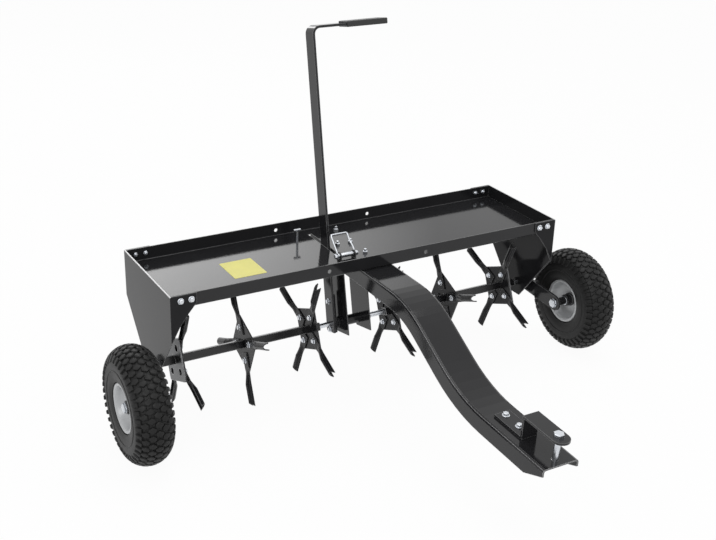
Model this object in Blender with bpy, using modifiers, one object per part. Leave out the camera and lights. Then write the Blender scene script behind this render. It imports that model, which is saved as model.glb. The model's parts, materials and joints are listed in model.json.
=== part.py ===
"""Tow-behind plug aerator with a weight tray, two lift wheels and a lift handle.

Metres, +Z up. X runs along the star axle, the hitch points to -Y, and the
machine stands on its tyres and on the tips of its spoons at Z = 0.
Heights named "above the axle" are measured from the axis of the star axle.
"""
import math

import bmesh
import bpy
from mathutils import Matrix, Vector

# Clearances
SEAT_GAP = 0.0003
RUN_GAP = 0.0004

# Weight tray, folded from sheet
TRAY_LENGTH = 1.0096
TRAY_DEPTH = 0.2754
TRAY_FLOOR_ABOVE_AXLE = 0.192
TRAY_WALL_HEIGHT = 0.0306
TRAY_SHEET = 0.002
TRAY_BEND_RADIUS = 0.004
TRAY_BEHIND_AXLE = 0.0087
WALL_HOLE_DIAMETER = 0.009
WALL_HOLE_SPACING = 0.256
WALL_HOLE_ABOVE_FLOOR = 0.0135

# End plates
END_SHEET = 0.003
END_SHOULDER_ABOVE_AXLE = 0.112
END_FOOT_BELOW_AXLE = 0.031
END_FOOT_WIDTH = 0.040
END_FLANGE_WIDTH = 0.0605
# The flange's curved lower edge, in shares of its width and of its height
END_FLANGE_EDGE = ((0.68, 0.31), (0.34, 0.57), (0.0, 0.79), (0.0, 1.0))

# Shaft that carries the lift, the spools and the wheel arms
SHAFT_DIAMETER = 0.0127
BEARING_DIAMETER = 0.034
BEARING_LENGTH = 0.008
BEARING_FLANGE_DIAMETER = 0.050
BEARING_FLANGE_THICKNESS = 0.003

# Spools: square tubes that run on the shaft
TUBE_WIDTH = 0.0195
TUBE_CORNER_RADIUS = 0.002
TUBE_BORE_CORNER_RADIUS = 0.001
TUBE_INNER_END_LEFT = 0.085
TUBE_INNER_END_RIGHT = 0.100
TUBE_END_CLEARANCE = 0.0085

# Stars: a square plate with four rolled spoons
INNER_STAR_X = 0.112
OUTER_STAR_TO_END_PLATE = 0.0551
STAR_PLATE_WIDTH = 0.100
STAR_PLATE_SHEET = 0.003
STAR_PLATE_CORNER_RADIUS = 0.004
END_STAR_HOLE_DIAMETER = 0.017
END_STAR_HOLE_RADIUS = 0.039
SPOONS_PER_STAR = 4
STAR_TURN = math.radians(22.5)

SPOON_TIP_RADIUS = 0.149
SPOON_ROOT_RADIUS = 0.021
SPOON_FLAT_END_RADIUS = 0.060
SPOON_HALF_ROLLED_RADIUS = 0.0744
SPOON_ROLLED_RADIUS = 0.096
SPOON_ROOT_WIDTH = 0.022
SPOON_TIP_WIDTH = 0.0185
SPOON_SHEET = 0.0028
SPOON_DEPTH = 0.0125
SPOON_LIP = 0.0010
SPOON_PRONG_LENGTH = 0.009
SPOON_COLUMNS = 6

# Lift wheels
WHEEL_DIAMETER = 0.264
WHEEL_WIDTH = 0.090
WHEEL_TO_ARM = 0.0119
WHEEL_LEAD = 0.137
RIM_DIAMETER = 0.112
RIM_WIDTH = 0.072
RIM_LIP = 0.0045
RIM_SHEET = 0.003
RIM_WEB = 0.020
RIM_DISH_WALL = 0.009
RIM_DISH_RISE = 0.002
RIM_HUB_DIAMETER = 0.034
RIM_HUB_LENGTH = 0.056
WHEEL_AXLE_DIAMETER = 0.015
WHEEL_AXLE_HEAD_DIAMETER = 0.024
WHEEL_AXLE_HEAD = 0.007
WHEEL_SPACER_DIAMETER = 0.020
TYRE_WIDEST_SHARE = 0.69
TYRE_BEAD_LIP = 0.0015
TYRE_BEAD_WIDTH = 0.007
# Points of the wall outside and inside, in shares of its height and of half the width
TYRE_WALL_OUTSIDE = (0.22, 0.92)
TYRE_WALL_INSIDE = ((0.50, 0.74), (0.80, 0.30))
TREAD_DEPTH = 0.0045
TREAD_GROOVE_DEPTH = 0.0030
TREAD_KNOBS = 40
TREAD_SIDE_ROWS = 3
TREAD_ROW_TURN = math.radians(19.5)

# Wheel arms on the ends of the shaft
ARM_THICKNESS = 0.006
ARM_WIDTH = 0.039
ARM_OFFSET = 0.019
SHAFT_NUT_DIAMETER = 0.021
SHAFT_NUT = 0.006

# Lift handle
HANDLE_X = -0.050
HANDLE_LEAN = math.radians(10.4)
HANDLE_LENGTH = 0.707
HANDLE_FOOT = 0.020
HANDLE_BAR_THICKNESS = 0.006
HANDLE_BAR_WIDTH = 0.036
HANDLE_BEND_RADIUS = 0.016
HANDLE_REACH = 0.190
GRIP_LENGTH = 0.108
GRIP_WALL = 0.0035
GRIP_EDGE_RADIUS = 0.0021
BRACKET_THICKNESS = 0.005
BRACKET_WIDTH = 0.030
BRACKET_HEIGHT = 0.075
BRACKET_COLLAR_DIAMETER = 0.028
BRACKET_COLLAR_LENGTH = 0.007
HANDLE_SWING_BACK = math.radians(16.0)
HANDLE_SWING_FORWARD = math.radians(9.8)
SLOT_SIDE_CLEARANCE = 0.002
SLOT_END_CLEARANCE = 0.0015

# Hangers and sleeve that hold the middle of the shaft under the tray
HANGER_SPACING = 0.061
HANGER_SHEET = 0.0025
HANGER_WIDTH = 0.089
HANGER_RAKE = math.radians(12.1)
HANGER_REAR_OF_AXLE = 0.037
HANGER_TAB_WIDTH = 0.022
HANGER_TIP_BELOW_AXLE = 0.026
HANGER_TIP_BEHIND_AXLE = 0.012
HANGER_FRONT_BELOW_AXLE = 0.012
HANGER_REAR_BELOW_AXLE = 0.006
SLEEVE_DIAMETER = 0.025
SLEEVE_OVERHANG = 0.0235

# Drawbar: a curved channel under the tray
DRAWBAR_WIDTH = 0.085
DRAWBAR_SHEET = 0.003
DRAWBAR_FLANGE = 0.040
DRAWBAR_NOSE_FLANGE = 0.016
DRAWBAR_CORNER_RADIUS = 0.006
DRAWBAR_TAIL = 0.128
DRAWBAR_FIRST_BEND_START = -0.2472
DRAWBAR_SLOPE = math.radians(29.0)
DRAWBAR_NOSE_SLOPE = math.radians(2.5)
DRAWBAR_FIRST_BEND_RADIUS = 0.250
DRAWBAR_SECOND_BEND_RADIUS = 0.340
DRAWBAR_STRAIGHT = 0.105
DRAWBAR_NOSE_LENGTH = 0.199
DRAWBAR_NOSE_TAPER = 0.055

# Hitch bracket and pin, placed from the end of the drawbar
HITCH_SHEET = 0.005
HITCH_WIDTH = 0.038
HITCH_BASE_LENGTH = 0.090
HITCH_JAW_HEIGHT = 0.043
HITCH_RISER_SETBACK = 0.099
HITCH_PIN_SETBACK = 0.020
HITCH_NOSE_PAST_PIN = 0.027
HITCH_PIN_DIAMETER = 0.0125
HITCH_PIN_HEAD_DIAMETER = 0.022
HITCH_PIN_HEAD = 0.007
HITCH_PIN_CHAMFER = 0.0021
HITCH_PIN_BELOW_WEB = 0.012

# Handle latch: two ears, a pin and a wire bail
LATCH_X = -0.0445
LATCH_AHEAD_OF_AXLE = 0.058
LATCH_PIN_ABOVE_FLOOR = 0.012
LATCH_EAR_SPACING = 0.040
LATCH_EAR_WIDTH = 0.018
LATCH_SHEET = 0.0025
LATCH_BASE_DEPTH = 0.034
LATCH_PIN_DIAMETER = 0.007
LATCH_PIN_OVERHANG = 0.0085
LATCH_PIN_HEAD = 0.0025
LATCH_BASE_AHEAD = 0.005
LATCH_SPACER_DIAMETER = 0.011
BAIL_WIRE_DIAMETER = 0.0042
BAIL_LEG = 0.054
BAIL_LEAN = math.radians(45.0)
BAIL_EYE_DIAMETER = 0.013
BAIL_CORNER = 0.004
BAIL_KNEE_TOP = 0.0335
BAIL_KNEE_FOOT = 0.0208

# Lock pin that stands in the tray floor
LOCK_PIN_X = -0.106
LOCK_PIN_BEHIND_AXLE = 0.074
LOCK_PIN_DIAMETER = 0.006
LOCK_PIN_HEIGHT = 0.036
LOCK_PIN_COLLAR_DIAMETER = 0.011
LOCK_PIN_COLLAR = 0.003
LOCK_PIN_BELOW_FLOOR = 0.009
LOCK_PIN_BAR_LENGTH = 0.018
LOCK_PIN_BAR_DIAMETER = 0.0055

# Places that follow from the sizes
SHAFT_RADIUS = SHAFT_DIAMETER / 2
STAR_HEIGHT = (SPOON_TIP_RADIUS * math.cos(STAR_TURN)
               + SPOON_TIP_WIDTH / 2 * math.sin(STAR_TURN))
WHEEL_RADIUS = WHEEL_DIAMETER / 2
END_INNER_X = TRAY_LENGTH / 2 + SEAT_GAP
END_OUTER_X = END_INNER_X + END_SHEET
FLANGE_REACH = TRAY_DEPTH / 2 + SEAT_GAP + END_SHEET
FLANGE_FRONT = TRAY_BEHIND_AXLE - FLANGE_REACH
FLANGE_REAR = TRAY_BEHIND_AXLE + FLANGE_REACH
ARM_INNER_X = END_OUTER_X + ARM_OFFSET
ARM_OUTER_X = ARM_INNER_X + ARM_THICKNESS
WHEEL_X = ARM_OUTER_X + WHEEL_TO_ARM + WHEEL_WIDTH / 2
OUTER_STAR_X = END_INNER_X - OUTER_STAR_TO_END_PLATE
STAR_PLACES = (INNER_STAR_X, (INNER_STAR_X + OUTER_STAR_X) / 2, OUTER_STAR_X)
FLOOR_BOTTOM = TRAY_FLOOR_ABOVE_AXLE - TRAY_SHEET
RIM_TOP = FLOOR_BOTTOM + TRAY_SHEET + TRAY_WALL_HEIGHT
TUBE_BORE = SHAFT_DIAMETER + 2 * RUN_GAP
WEB_TOP = FLOOR_BOTTOM - SEAT_GAP
HANGER_X = HANGER_SPACING / 2


def drawbar_path():
    """Top line of the drawbar, (y, z, slope) from the tail to the nose, above the axle."""
    bend_steps = 6
    points = [(DRAWBAR_TAIL, WEB_TOP, 0.0)]
    y = DRAWBAR_FIRST_BEND_START
    z = WEB_TOP
    for step in range(bend_steps + 1):
        slope = DRAWBAR_SLOPE * step / bend_steps
        points.append((y - DRAWBAR_FIRST_BEND_RADIUS * math.sin(slope),
                       z - DRAWBAR_FIRST_BEND_RADIUS * (1 - math.cos(slope)),
                       slope))
    y, z, slope = points[-1]
    y -= DRAWBAR_STRAIGHT * math.cos(slope)
    z -= DRAWBAR_STRAIGHT * math.sin(slope)
    for step in range(bend_steps + 1):
        slope = DRAWBAR_SLOPE + (DRAWBAR_NOSE_SLOPE - DRAWBAR_SLOPE) * step / bend_steps
        turned_y = DRAWBAR_SECOND_BEND_RADIUS * (math.sin(DRAWBAR_SLOPE) - math.sin(slope))
        turned_z = DRAWBAR_SECOND_BEND_RADIUS * (math.cos(slope) - math.cos(DRAWBAR_SLOPE))
        points.append((y - turned_y, z - turned_z, slope))
    y, z, slope = points[-1]
    for length in (DRAWBAR_NOSE_LENGTH - DRAWBAR_NOSE_TAPER, DRAWBAR_NOSE_LENGTH):
        points.append((y - length * math.cos(slope), z - length * math.sin(slope), slope))
    return points


NOSE_Y, NOSE_Z, NOSE_SLOPE = drawbar_path()[-1]
HITCH_TOP = SEAT_GAP + HITCH_SHEET + HITCH_JAW_HEIGHT
HITCH_FRONT = ((HITCH_NOSE_PAST_PIN - HITCH_PIN_SETBACK) * math.cos(NOSE_SLOPE)
               + (HITCH_TOP + HITCH_SHEET) * math.sin(NOSE_SLOPE))
GRIP_WIDTH = HANDLE_BAR_WIDTH + 2 * (GRIP_WALL + SEAT_GAP)
HANDLE_REAR = HANDLE_LENGTH * math.sin(HANDLE_LEAN) + GRIP_WIDTH / 2 * math.cos(HANDLE_LEAN)
FRONT_REACH = HITCH_FRONT - NOSE_Y
REAR_REACH = max(HANDLE_REAR, FLANGE_REAR, STAR_HEIGHT)
AXLE = Vector((0, (FRONT_REACH - REAR_REACH) / 2, STAR_HEIGHT))
WHEEL_DROP = WHEEL_RADIUS - STAR_HEIGHT
WHEEL_ANGLE = math.atan2(WHEEL_DROP, WHEEL_LEAD)
WHEEL_FOOT = -math.pi / 2

FACING_X = Matrix(((0, 0, 1), (1, 0, 0), (0, 1, 0))).to_4x4()


def start_clean():
    """Empty the scene and make the two collections."""
    for item in list(bpy.data.objects):
        bpy.data.objects.remove(item, do_unlink=True)
    collections = []
    for name in ("tow_behind_aerator", "cutters"):
        collection = bpy.data.collections.new(name)
        bpy.context.scene.collection.children.link(collection)
        collections.append(collection)
    return collections


def principled(name, colour, roughness, metallic):
    """A plain Principled material."""
    material = bpy.data.materials.new(name)
    material.use_nodes = True
    shader = material.node_tree.nodes["Principled BSDF"]
    shader.inputs["Base Color"].default_value = (*colour, 1.0)
    shader.inputs["Roughness"].default_value = roughness
    shader.inputs["Metallic"].default_value = metallic
    return material


PARTS, CUTTERS = start_clean()
BLACK_COAT = principled("black_powder_coat", (0.012, 0.012, 0.013), 0.38, 0.0)
ZINC = principled("zinc_plating", (0.62, 0.63, 0.64), 0.32, 1.0)
RUBBER = principled("tyre_rubber", (0.018, 0.018, 0.018), 0.75, 0.0)
RIM_GREY = principled("grey_rim_paint", (0.23, 0.24, 0.25), 0.42, 0.0)
GRIP_VINYL = principled("black_grip_vinyl", (0.010, 0.010, 0.010), 0.55, 0.0)


def at(x, y, z):
    """World place of a point given from the middle of the star axle."""
    return AXLE + Vector((x, y, z))


def put(mesh, name, material=None, matrix=None, parent=None):
    """Link a mesh as a part, or as a cutter where it has no material."""
    item = bpy.data.objects.new(name, mesh)
    if material is None:
        CUTTERS.objects.link(item)
        item.hide_render = True
        item.display_type = "WIRE"
    else:
        PARTS.objects.link(item)
        mesh.materials.clear()
        mesh.materials.append(material)
        mesh.shade_smooth()
        mesh.set_sharp_from_angle(angle=math.radians(35))
    item.matrix_world = matrix if matrix is not None else Matrix.Identity(4)
    if parent is not None:
        item.parent = parent
        item.matrix_parent_inverse = parent.matrix_world.inverted()
    return item


def pivot(name, place, tilt=0.0):
    """An empty on a joint's axis."""
    empty = bpy.data.objects.new(name, None)
    empty.empty_display_size = 0.05
    PARTS.objects.link(empty)
    empty.matrix_world = Matrix.Translation(place) @ Matrix.Rotation(tilt, 4, "X")
    bpy.context.view_layer.update()
    return empty


def boolean(item, other, operation):
    """Join or cut with another mesh."""
    modifier = item.modifiers.new(f"{operation.lower()}_{other.name}", "BOOLEAN")
    modifier.operation = operation
    modifier.solver = "EXACT"
    modifier.object = other


def solidify(item, thickness, offset):
    """Give an open sheet its thickness."""
    modifier = item.modifiers.new("sheet_thickness", "SOLIDIFY")
    modifier.thickness = thickness
    modifier.offset = offset
    modifier.use_even_offset = True
    modifier.use_quality_normals = True


def circle(radius, steps=24, centre=(0.0, 0.0), turn=0.0):
    """Points on a circle, the first at the turn angle."""
    return [(centre[0] + radius * math.cos(turn + math.tau * step / steps),
             centre[1] + radius * math.sin(turn + math.tau * step / steps))
            for step in range(steps)]


def square(width, radius, turn):
    """A square with rounded corners whose first corner is at the turn angle."""
    points = []
    reach = width / 2 - radius
    for corner in range(4):
        middle = turn + math.tau * corner / 4
        centre = (reach * math.sqrt(2) * math.cos(middle), reach * math.sqrt(2) * math.sin(middle))
        for step in (-1, 0, 1):
            angle = middle + math.radians(45) * step
            points.append((centre[0] + radius * math.cos(angle), centre[1] + radius * math.sin(angle)))
    return points


def outline_mesh(name, outlines, thickness):
    """A flat outline with holes, extruded half its thickness to each side."""
    curve = bpy.data.curves.new(name, "CURVE")
    curve.dimensions = "2D"
    curve.fill_mode = "BOTH"
    curve.extrude = thickness / 2
    for points in outlines:
        spline = curve.splines.new("POLY")
        spline.points.add(len(points) - 1)
        spline.use_cyclic_u = True
        for point, (u, v) in zip(spline.points, points):
            point.co = (u, v, 0, 1)
    return curve_mesh(curve)


def curve_mesh(curve):
    """The closed mesh of a curve, with its caps welded on."""
    item = bpy.data.objects.new(curve.name, curve)
    bpy.context.scene.collection.objects.link(item)
    bpy.context.view_layer.update()
    evaluated = item.evaluated_get(bpy.context.evaluated_depsgraph_get())
    mesh = bpy.data.meshes.new_from_object(evaluated)
    bpy.data.objects.remove(item, do_unlink=True)
    shape = bmesh.new()
    shape.from_mesh(mesh)
    bmesh.ops.remove_doubles(shape, verts=shape.verts, dist=0.00002)
    bmesh.ops.recalc_face_normals(shape, faces=shape.faces)
    shape.to_mesh(mesh)
    shape.free()
    return mesh


def sheet_plate(name, outlines, x, thickness, material, parent=None, turn=0.0):
    """A flat plate square to the axle: outlines in (y, z) from the axle, middle at x."""
    mesh = outline_mesh(name, outlines, thickness)
    matrix = Matrix.Translation(at(x, 0, 0)) @ Matrix.Rotation(turn, 4, "X") @ FACING_X
    return put(mesh, name, material, matrix, parent)


def box_mesh(name, size, centre=(0, 0, 0)):
    """A box."""
    shape = bmesh.new()
    bmesh.ops.create_cube(shape, size=1.0)
    bmesh.ops.scale(shape, vec=size, verts=shape.verts)
    bmesh.ops.translate(shape, vec=centre, verts=shape.verts)
    mesh = bpy.data.meshes.new(name)
    shape.to_mesh(mesh)
    shape.free()
    return mesh


def cylinder_mesh(name, radius, start, end, steps=24):
    """A cylinder along its own Z from start to end."""
    shape = bmesh.new()
    bmesh.ops.create_cone(shape, cap_ends=True, segments=steps, radius1=radius, radius2=radius,
                          depth=end - start)
    bmesh.ops.translate(shape, vec=(0, 0, (start + end) / 2), verts=shape.verts)
    mesh = bpy.data.meshes.new(name)
    shape.to_mesh(mesh)
    shape.free()
    return mesh


def along_x(place, side=1):
    """Turn a piece's own Z to +X, or to -X for side -1, at a place."""
    return Matrix.Translation(place) @ Matrix.Rotation(side * math.pi / 2, 4, "Y")


def bore(item, name, radius, place, reach, side=1, steps=24):
    """Cut a round hole along X, reach to each side of the place."""
    cutter = put(cylinder_mesh(name, radius, -reach, reach, steps), name,
                 matrix=along_x(place, side))
    boolean(item, cutter, "DIFFERENCE")


def grid_mesh(name, rows):
    """An open sheet through rows of points."""
    shape = bmesh.new()
    grid = [[shape.verts.new(point) for point in row] for row in rows]
    for near, far in zip(grid, grid[1:]):
        for column in range(len(near) - 1):
            shape.faces.new((near[column], near[column + 1], far[column + 1], far[column]))
    mesh = bpy.data.meshes.new(name)
    shape.to_mesh(mesh)
    shape.free()
    return mesh


def turned(name, profile, steps, material, matrix, parent=None):
    """A turned piece: (radius, height) points down its outer side, about its own Z."""
    mesh = bpy.data.meshes.new(name)
    closed = profile[0][0] > 0
    count = len(profile)
    edges = [(index, (index + 1) % count) for index in range(count if closed else count - 1)]
    mesh.from_pydata([(radius, 0, height) for radius, height in profile], edges, [])
    item = put(mesh, name, material, matrix, parent)
    screw = item.modifiers.new("turn", "SCREW")
    screw.axis = "Z"
    screw.angle = math.tau
    screw.steps = steps
    screw.render_steps = steps
    screw.use_merge_vertices = True
    screw.merge_threshold = 0.00001
    screw.use_smooth_shade = True
    return item


def make_tray():
    """Front lip, floor and rear wall folded from one sheet, with the slot for the handle."""
    half = TRAY_DEPTH / 2
    bottom = FLOOR_BOTTOM
    steps = 3
    section = [(-half, RIM_TOP)]
    for step in range(steps + 1):
        angle = math.pi / 2 * step / steps
        section.append((-half + TRAY_BEND_RADIUS * (1 - math.cos(angle)),
                        bottom + TRAY_BEND_RADIUS * (1 - math.sin(angle))))
    section += [(-y, z) for y, z in reversed(section)]
    rows = [[at(x, TRAY_BEHIND_AXLE + y, z) for y, z in section]
            for x in (-TRAY_LENGTH / 2, TRAY_LENGTH / 2)]
    tray = put(grid_mesh("tray", rows), "tray", BLACK_COAT)
    solidify(tray, TRAY_SHEET, -1.0)
    slot = slot_size()
    cutter = put(box_mesh("cut_handle_slot", (slot[0], slot[1], TRAY_SHEET * 4),
                          at(HANDLE_X, slot[2], FLOOR_BOTTOM)), "cut_handle_slot")
    boolean(tray, cutter, "DIFFERENCE")
    hole = put(cylinder_mesh("cut_lock_pin_hole", LOCK_PIN_DIAMETER / 2 + RUN_GAP,
                             -TRAY_SHEET * 2, TRAY_SHEET * 2, 12),
               "cut_lock_pin_hole",
               matrix=Matrix.Translation(at(LOCK_PIN_X, LOCK_PIN_BEHIND_AXLE, FLOOR_BOTTOM)))
    boolean(tray, hole, "DIFFERENCE")
    for side in (-1, 1):
        place = at(side * WALL_HOLE_SPACING / 2, TRAY_BEHIND_AXLE,
                   TRAY_FLOOR_ABOVE_AXLE + WALL_HOLE_ABOVE_FLOOR)
        name = f"cut_wall_holes_{side + 1}"
        walls = put(cylinder_mesh(name, WALL_HOLE_DIAMETER / 2, -TRAY_DEPTH, TRAY_DEPTH, 12),
                    name, matrix=Matrix.Translation(place) @ Matrix.Rotation(math.pi / 2, 4, "X"))
        boolean(tray, walls, "DIFFERENCE")


def slot_size():
    """Width, length and middle y of the handle slot, from the handle's swing."""
    width = HANDLE_BAR_THICKNESS + 2 * SLOT_SIDE_CLEARANCE
    back = HANDLE_LEAN + HANDLE_SWING_BACK
    forward = HANDLE_LEAN - HANDLE_SWING_FORWARD
    top = TRAY_FLOOR_ABOVE_AXLE
    rear = top * math.tan(back) + HANDLE_BAR_WIDTH / 2 / math.cos(back) + SLOT_END_CLEARANCE
    front = (FLOOR_BOTTOM * math.tan(forward) - HANDLE_BAR_WIDTH / 2 / math.cos(forward)
             - SLOT_END_CLEARANCE)
    return width, rear - front, (rear + front) / 2


def make_end_plate(side):
    """Six-sided end plate with a front and a rear flange folded inward."""
    name = "end_plate_right" if side > 0 else "end_plate_left"
    foot = END_FOOT_WIDTH / 2
    inner = END_OUTER_X - END_FLANGE_WIDTH
    shape = bmesh.new()
    plate = [(FLANGE_FRONT, RIM_TOP), (FLANGE_FRONT, END_SHOULDER_ABOVE_AXLE),
             (-foot, -END_FOOT_BELOW_AXLE), (foot, -END_FOOT_BELOW_AXLE),
             (FLANGE_REAR, END_SHOULDER_ABOVE_AXLE), (FLANGE_REAR, RIM_TOP)]
    corners = [shape.verts.new(at(side * END_OUTER_X, y, z)) for y, z in plate]
    shape.faces.new(corners)
    drop = RIM_TOP - END_SHOULDER_ABOVE_AXLE
    edge = [(inner + END_FLANGE_WIDTH * across, END_SHOULDER_ABOVE_AXLE + drop * up)
            for across, up in END_FLANGE_EDGE]
    for y, low, high in ((FLANGE_FRONT, corners[1], corners[0]),
                         (FLANGE_REAR, corners[4], corners[5])):
        flange = [shape.verts.new(at(side * x, y, z)) for x, z in edge]
        shape.faces.new([low, *flange, high])
    bmesh.ops.recalc_face_normals(shape, faces=shape.faces)
    mesh = bpy.data.meshes.new(name)
    shape.to_mesh(mesh)
    shape.free()
    plate = put(mesh, name, BLACK_COAT)
    outward = sum((face.normal.x * side for face in mesh.polygons if abs(face.normal.x) > 0.5))
    solidify(plate, END_SHEET, -1.0 if outward > 0 else 1.0)
    bore(plate, f"cut_{name}_bore", SHAFT_RADIUS + RUN_GAP, at(side * END_OUTER_X, 0, 0),
         END_SHEET * 2)


def make_bearing(side):
    """Flanged bearing on the outside of an end plate."""
    name = "bearing_right" if side > 0 else "bearing_left"
    inner = SHAFT_RADIUS + RUN_GAP
    flange = BEARING_FLANGE_THICKNESS
    profile = [(inner, BEARING_LENGTH), (BEARING_DIAMETER / 2, BEARING_LENGTH),
               (BEARING_DIAMETER / 2, flange), (BEARING_FLANGE_DIAMETER / 2, flange),
               (BEARING_FLANGE_DIAMETER / 2, 0), (inner, 0)]
    turned(name, profile, 16, BLACK_COAT, along_x(at(side * (END_OUTER_X + SEAT_GAP), 0, 0), side))


def make_drawbar():
    """Channel swept along the drawbar's curve, its flanges tapered at the nose."""
    half = DRAWBAR_WIDTH / 2
    corner = DRAWBAR_CORNER_RADIUS
    path = drawbar_path()
    rows = []
    for index, (y, z, slope) in enumerate(path):
        depth = DRAWBAR_NOSE_FLANGE if index == len(path) - 1 else DRAWBAR_FLANGE
        section = [(-half, depth), (-half, corner)]
        for step in (1, 2):
            angle = math.pi / 4 * step
            section.append((-half + corner * (1 - math.cos(angle)),
                            corner * (1 - math.sin(angle))))
        section += [(-x, down) for x, down in reversed(section)]
        lean = Vector((0, math.sin(slope), -math.cos(slope)))
        rows.append([at(x, y, z) + lean * down for x, down in section])
    drawbar = put(grid_mesh("drawbar", rows), "drawbar", BLACK_COAT)
    drawbar.data.flip_normals()
    solidify(drawbar, DRAWBAR_SHEET, -1.0)
    hole = put(cylinder_mesh("cut_drawbar_pin_hole", HITCH_PIN_DIAMETER / 2 + RUN_GAP,
                             -DRAWBAR_SHEET * 3, DRAWBAR_SHEET * 2, 16),
               "cut_drawbar_pin_hole", matrix=nose_frame() @ Matrix.Translation(pin_foot()))
    boolean(drawbar, hole, "DIFFERENCE")


def nose_frame():
    """Frame on the web at the tip of the drawbar, its Y running back up the web."""
    return Matrix.Translation(at(0, NOSE_Y, NOSE_Z)) @ Matrix.Rotation(NOSE_SLOPE, 4, "X")


def pin_foot():
    """The hitch pin's place on the web, in the nose frame."""
    return Vector((0, HITCH_PIN_SETBACK, 0))


def make_hitch_bracket():
    """Z-shaped plate bolted to the web, with a round nose over the hitch pin."""
    base = SEAT_GAP
    riser = HITCH_RISER_SETBACK
    nose = HITCH_WIDTH / 2
    steps = 10
    rows = []
    for step in range(steps + 1):
        angle = math.pi * step / steps
        x = -nose * math.cos(angle)
        tip = HITCH_PIN_SETBACK - (HITCH_NOSE_PAST_PIN - nose) - nose * math.sin(angle)
        line = [(riser + HITCH_BASE_LENGTH, base), (riser, base), (riser, HITCH_TOP),
                (tip, HITCH_TOP)]
        rows.append([(x, y, z) for y, z in line])
    bracket = put(grid_mesh("hitch_bracket", rows), "hitch_bracket", BLACK_COAT, nose_frame())
    solidify(bracket, HITCH_SHEET, 1.0)
    hole = put(cylinder_mesh("cut_hitch_pin_hole", HITCH_PIN_DIAMETER / 2 + RUN_GAP,
                             HITCH_TOP - HITCH_SHEET, HITCH_TOP + 2 * HITCH_SHEET, 16),
               "cut_hitch_pin_hole", matrix=nose_frame() @ Matrix.Translation(pin_foot()))
    boolean(bracket, hole, "DIFFERENCE")


def make_hitch_pin(parent):
    """Headed pin through the bracket and the web."""
    head = HITCH_TOP + HITCH_SHEET + SEAT_GAP
    shank = HITCH_PIN_DIAMETER / 2
    wide = HITCH_PIN_HEAD_DIAMETER / 2
    top = head + HITCH_PIN_HEAD
    profile = [(0, top), (wide - HITCH_PIN_CHAMFER, top), (wide, top - HITCH_PIN_CHAMFER),
               (wide, head), (shank, head), (shank, -HITCH_PIN_BELOW_WEB),
               (0, -HITCH_PIN_BELOW_WEB)]
    turned("hitch_pin", profile, 16, ZINC, nose_frame() @ Matrix.Translation(pin_foot()), parent)


def make_hanger(side):
    """Raked plate under the tray, with a tab folded in under the drawbar's web."""
    name = "hanger_right" if side > 0 else "hanger_left"
    top = WEB_TOP - DRAWBAR_SHEET - SEAT_GAP
    shift = math.tan(HANGER_RAKE)
    rear = HANGER_REAR_OF_AXLE
    front = rear - HANGER_WIDTH
    low_front = -HANGER_FRONT_BELOW_AXLE
    low_rear = -HANGER_REAR_BELOW_AXLE
    x = HANGER_X + HANGER_SHEET / 2
    outline = [(front + low_front * shift, low_front),
               (HANGER_TIP_BEHIND_AXLE, -HANGER_TIP_BELOW_AXLE),
               (rear + low_rear * shift, low_rear), (rear + top * shift, top),
               (front + top * shift, top)]
    shape = bmesh.new()
    corners = [shape.verts.new(at(side * x, y, z)) for y, z in outline]
    shape.faces.new(corners)
    tab_x = side * (x - HANGER_TAB_WIDTH)
    tab = [shape.verts.new(at(tab_x, y, z)) for y, z in (outline[4], outline[3])]
    shape.faces.new([corners[3], corners[4], *tab])
    bmesh.ops.recalc_face_normals(shape, faces=shape.faces)
    mesh = bpy.data.meshes.new(name)
    shape.to_mesh(mesh)
    shape.free()
    hanger = put(mesh, name, BLACK_COAT)
    outward = sum((face.normal.x * side for face in mesh.polygons if abs(face.normal.x) > 0.5))
    solidify(hanger, HANGER_SHEET, -1.0 if outward > 0 else 1.0)
    bore(hanger, f"cut_{name}_bore", SLEEVE_DIAMETER / 2 + SEAT_GAP, at(side * x, 0, 0),
         HANGER_SHEET * 2)


def make_sleeve():
    """Sleeve through both hangers, round the shaft."""
    inner = SHAFT_RADIUS + RUN_GAP
    outer = SLEEVE_DIAMETER / 2
    start = bracket_collar_end() + SEAT_GAP
    end = HANGER_X + SLEEVE_OVERHANG
    profile = [(inner, end), (outer, end), (outer, start), (inner, start)]
    turned("pivot_sleeve", profile, 16, BLACK_COAT, along_x(at(0, 0, 0)))


def bracket_collar_end():
    """X of the handle bracket's collar on the side of the sleeve."""
    return HANDLE_X + HANDLE_BAR_THICKNESS / 2 + SEAT_GAP + BRACKET_THICKNESS + BRACKET_COLLAR_LENGTH


def make_shaft(parent):
    """Shaft from one wheel arm to the other, with a nut outside each arm."""
    nut_start = ARM_OUTER_X + SEAT_GAP
    end = nut_start + SHAFT_NUT
    wide = SHAFT_NUT_DIAMETER / 2
    half = [(0, end), (wide, end), (wide, nut_start), (SHAFT_RADIUS, nut_start)]
    profile = half + [(radius, -height) for radius, height in reversed(half)]
    turned("lift_shaft", profile, 16, ZINC, along_x(at(0, 0, 0)), parent)


def wheel_centre(side):
    """Middle of a wheel."""
    return at(side * WHEEL_X, -WHEEL_LEAD, WHEEL_DROP)


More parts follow.
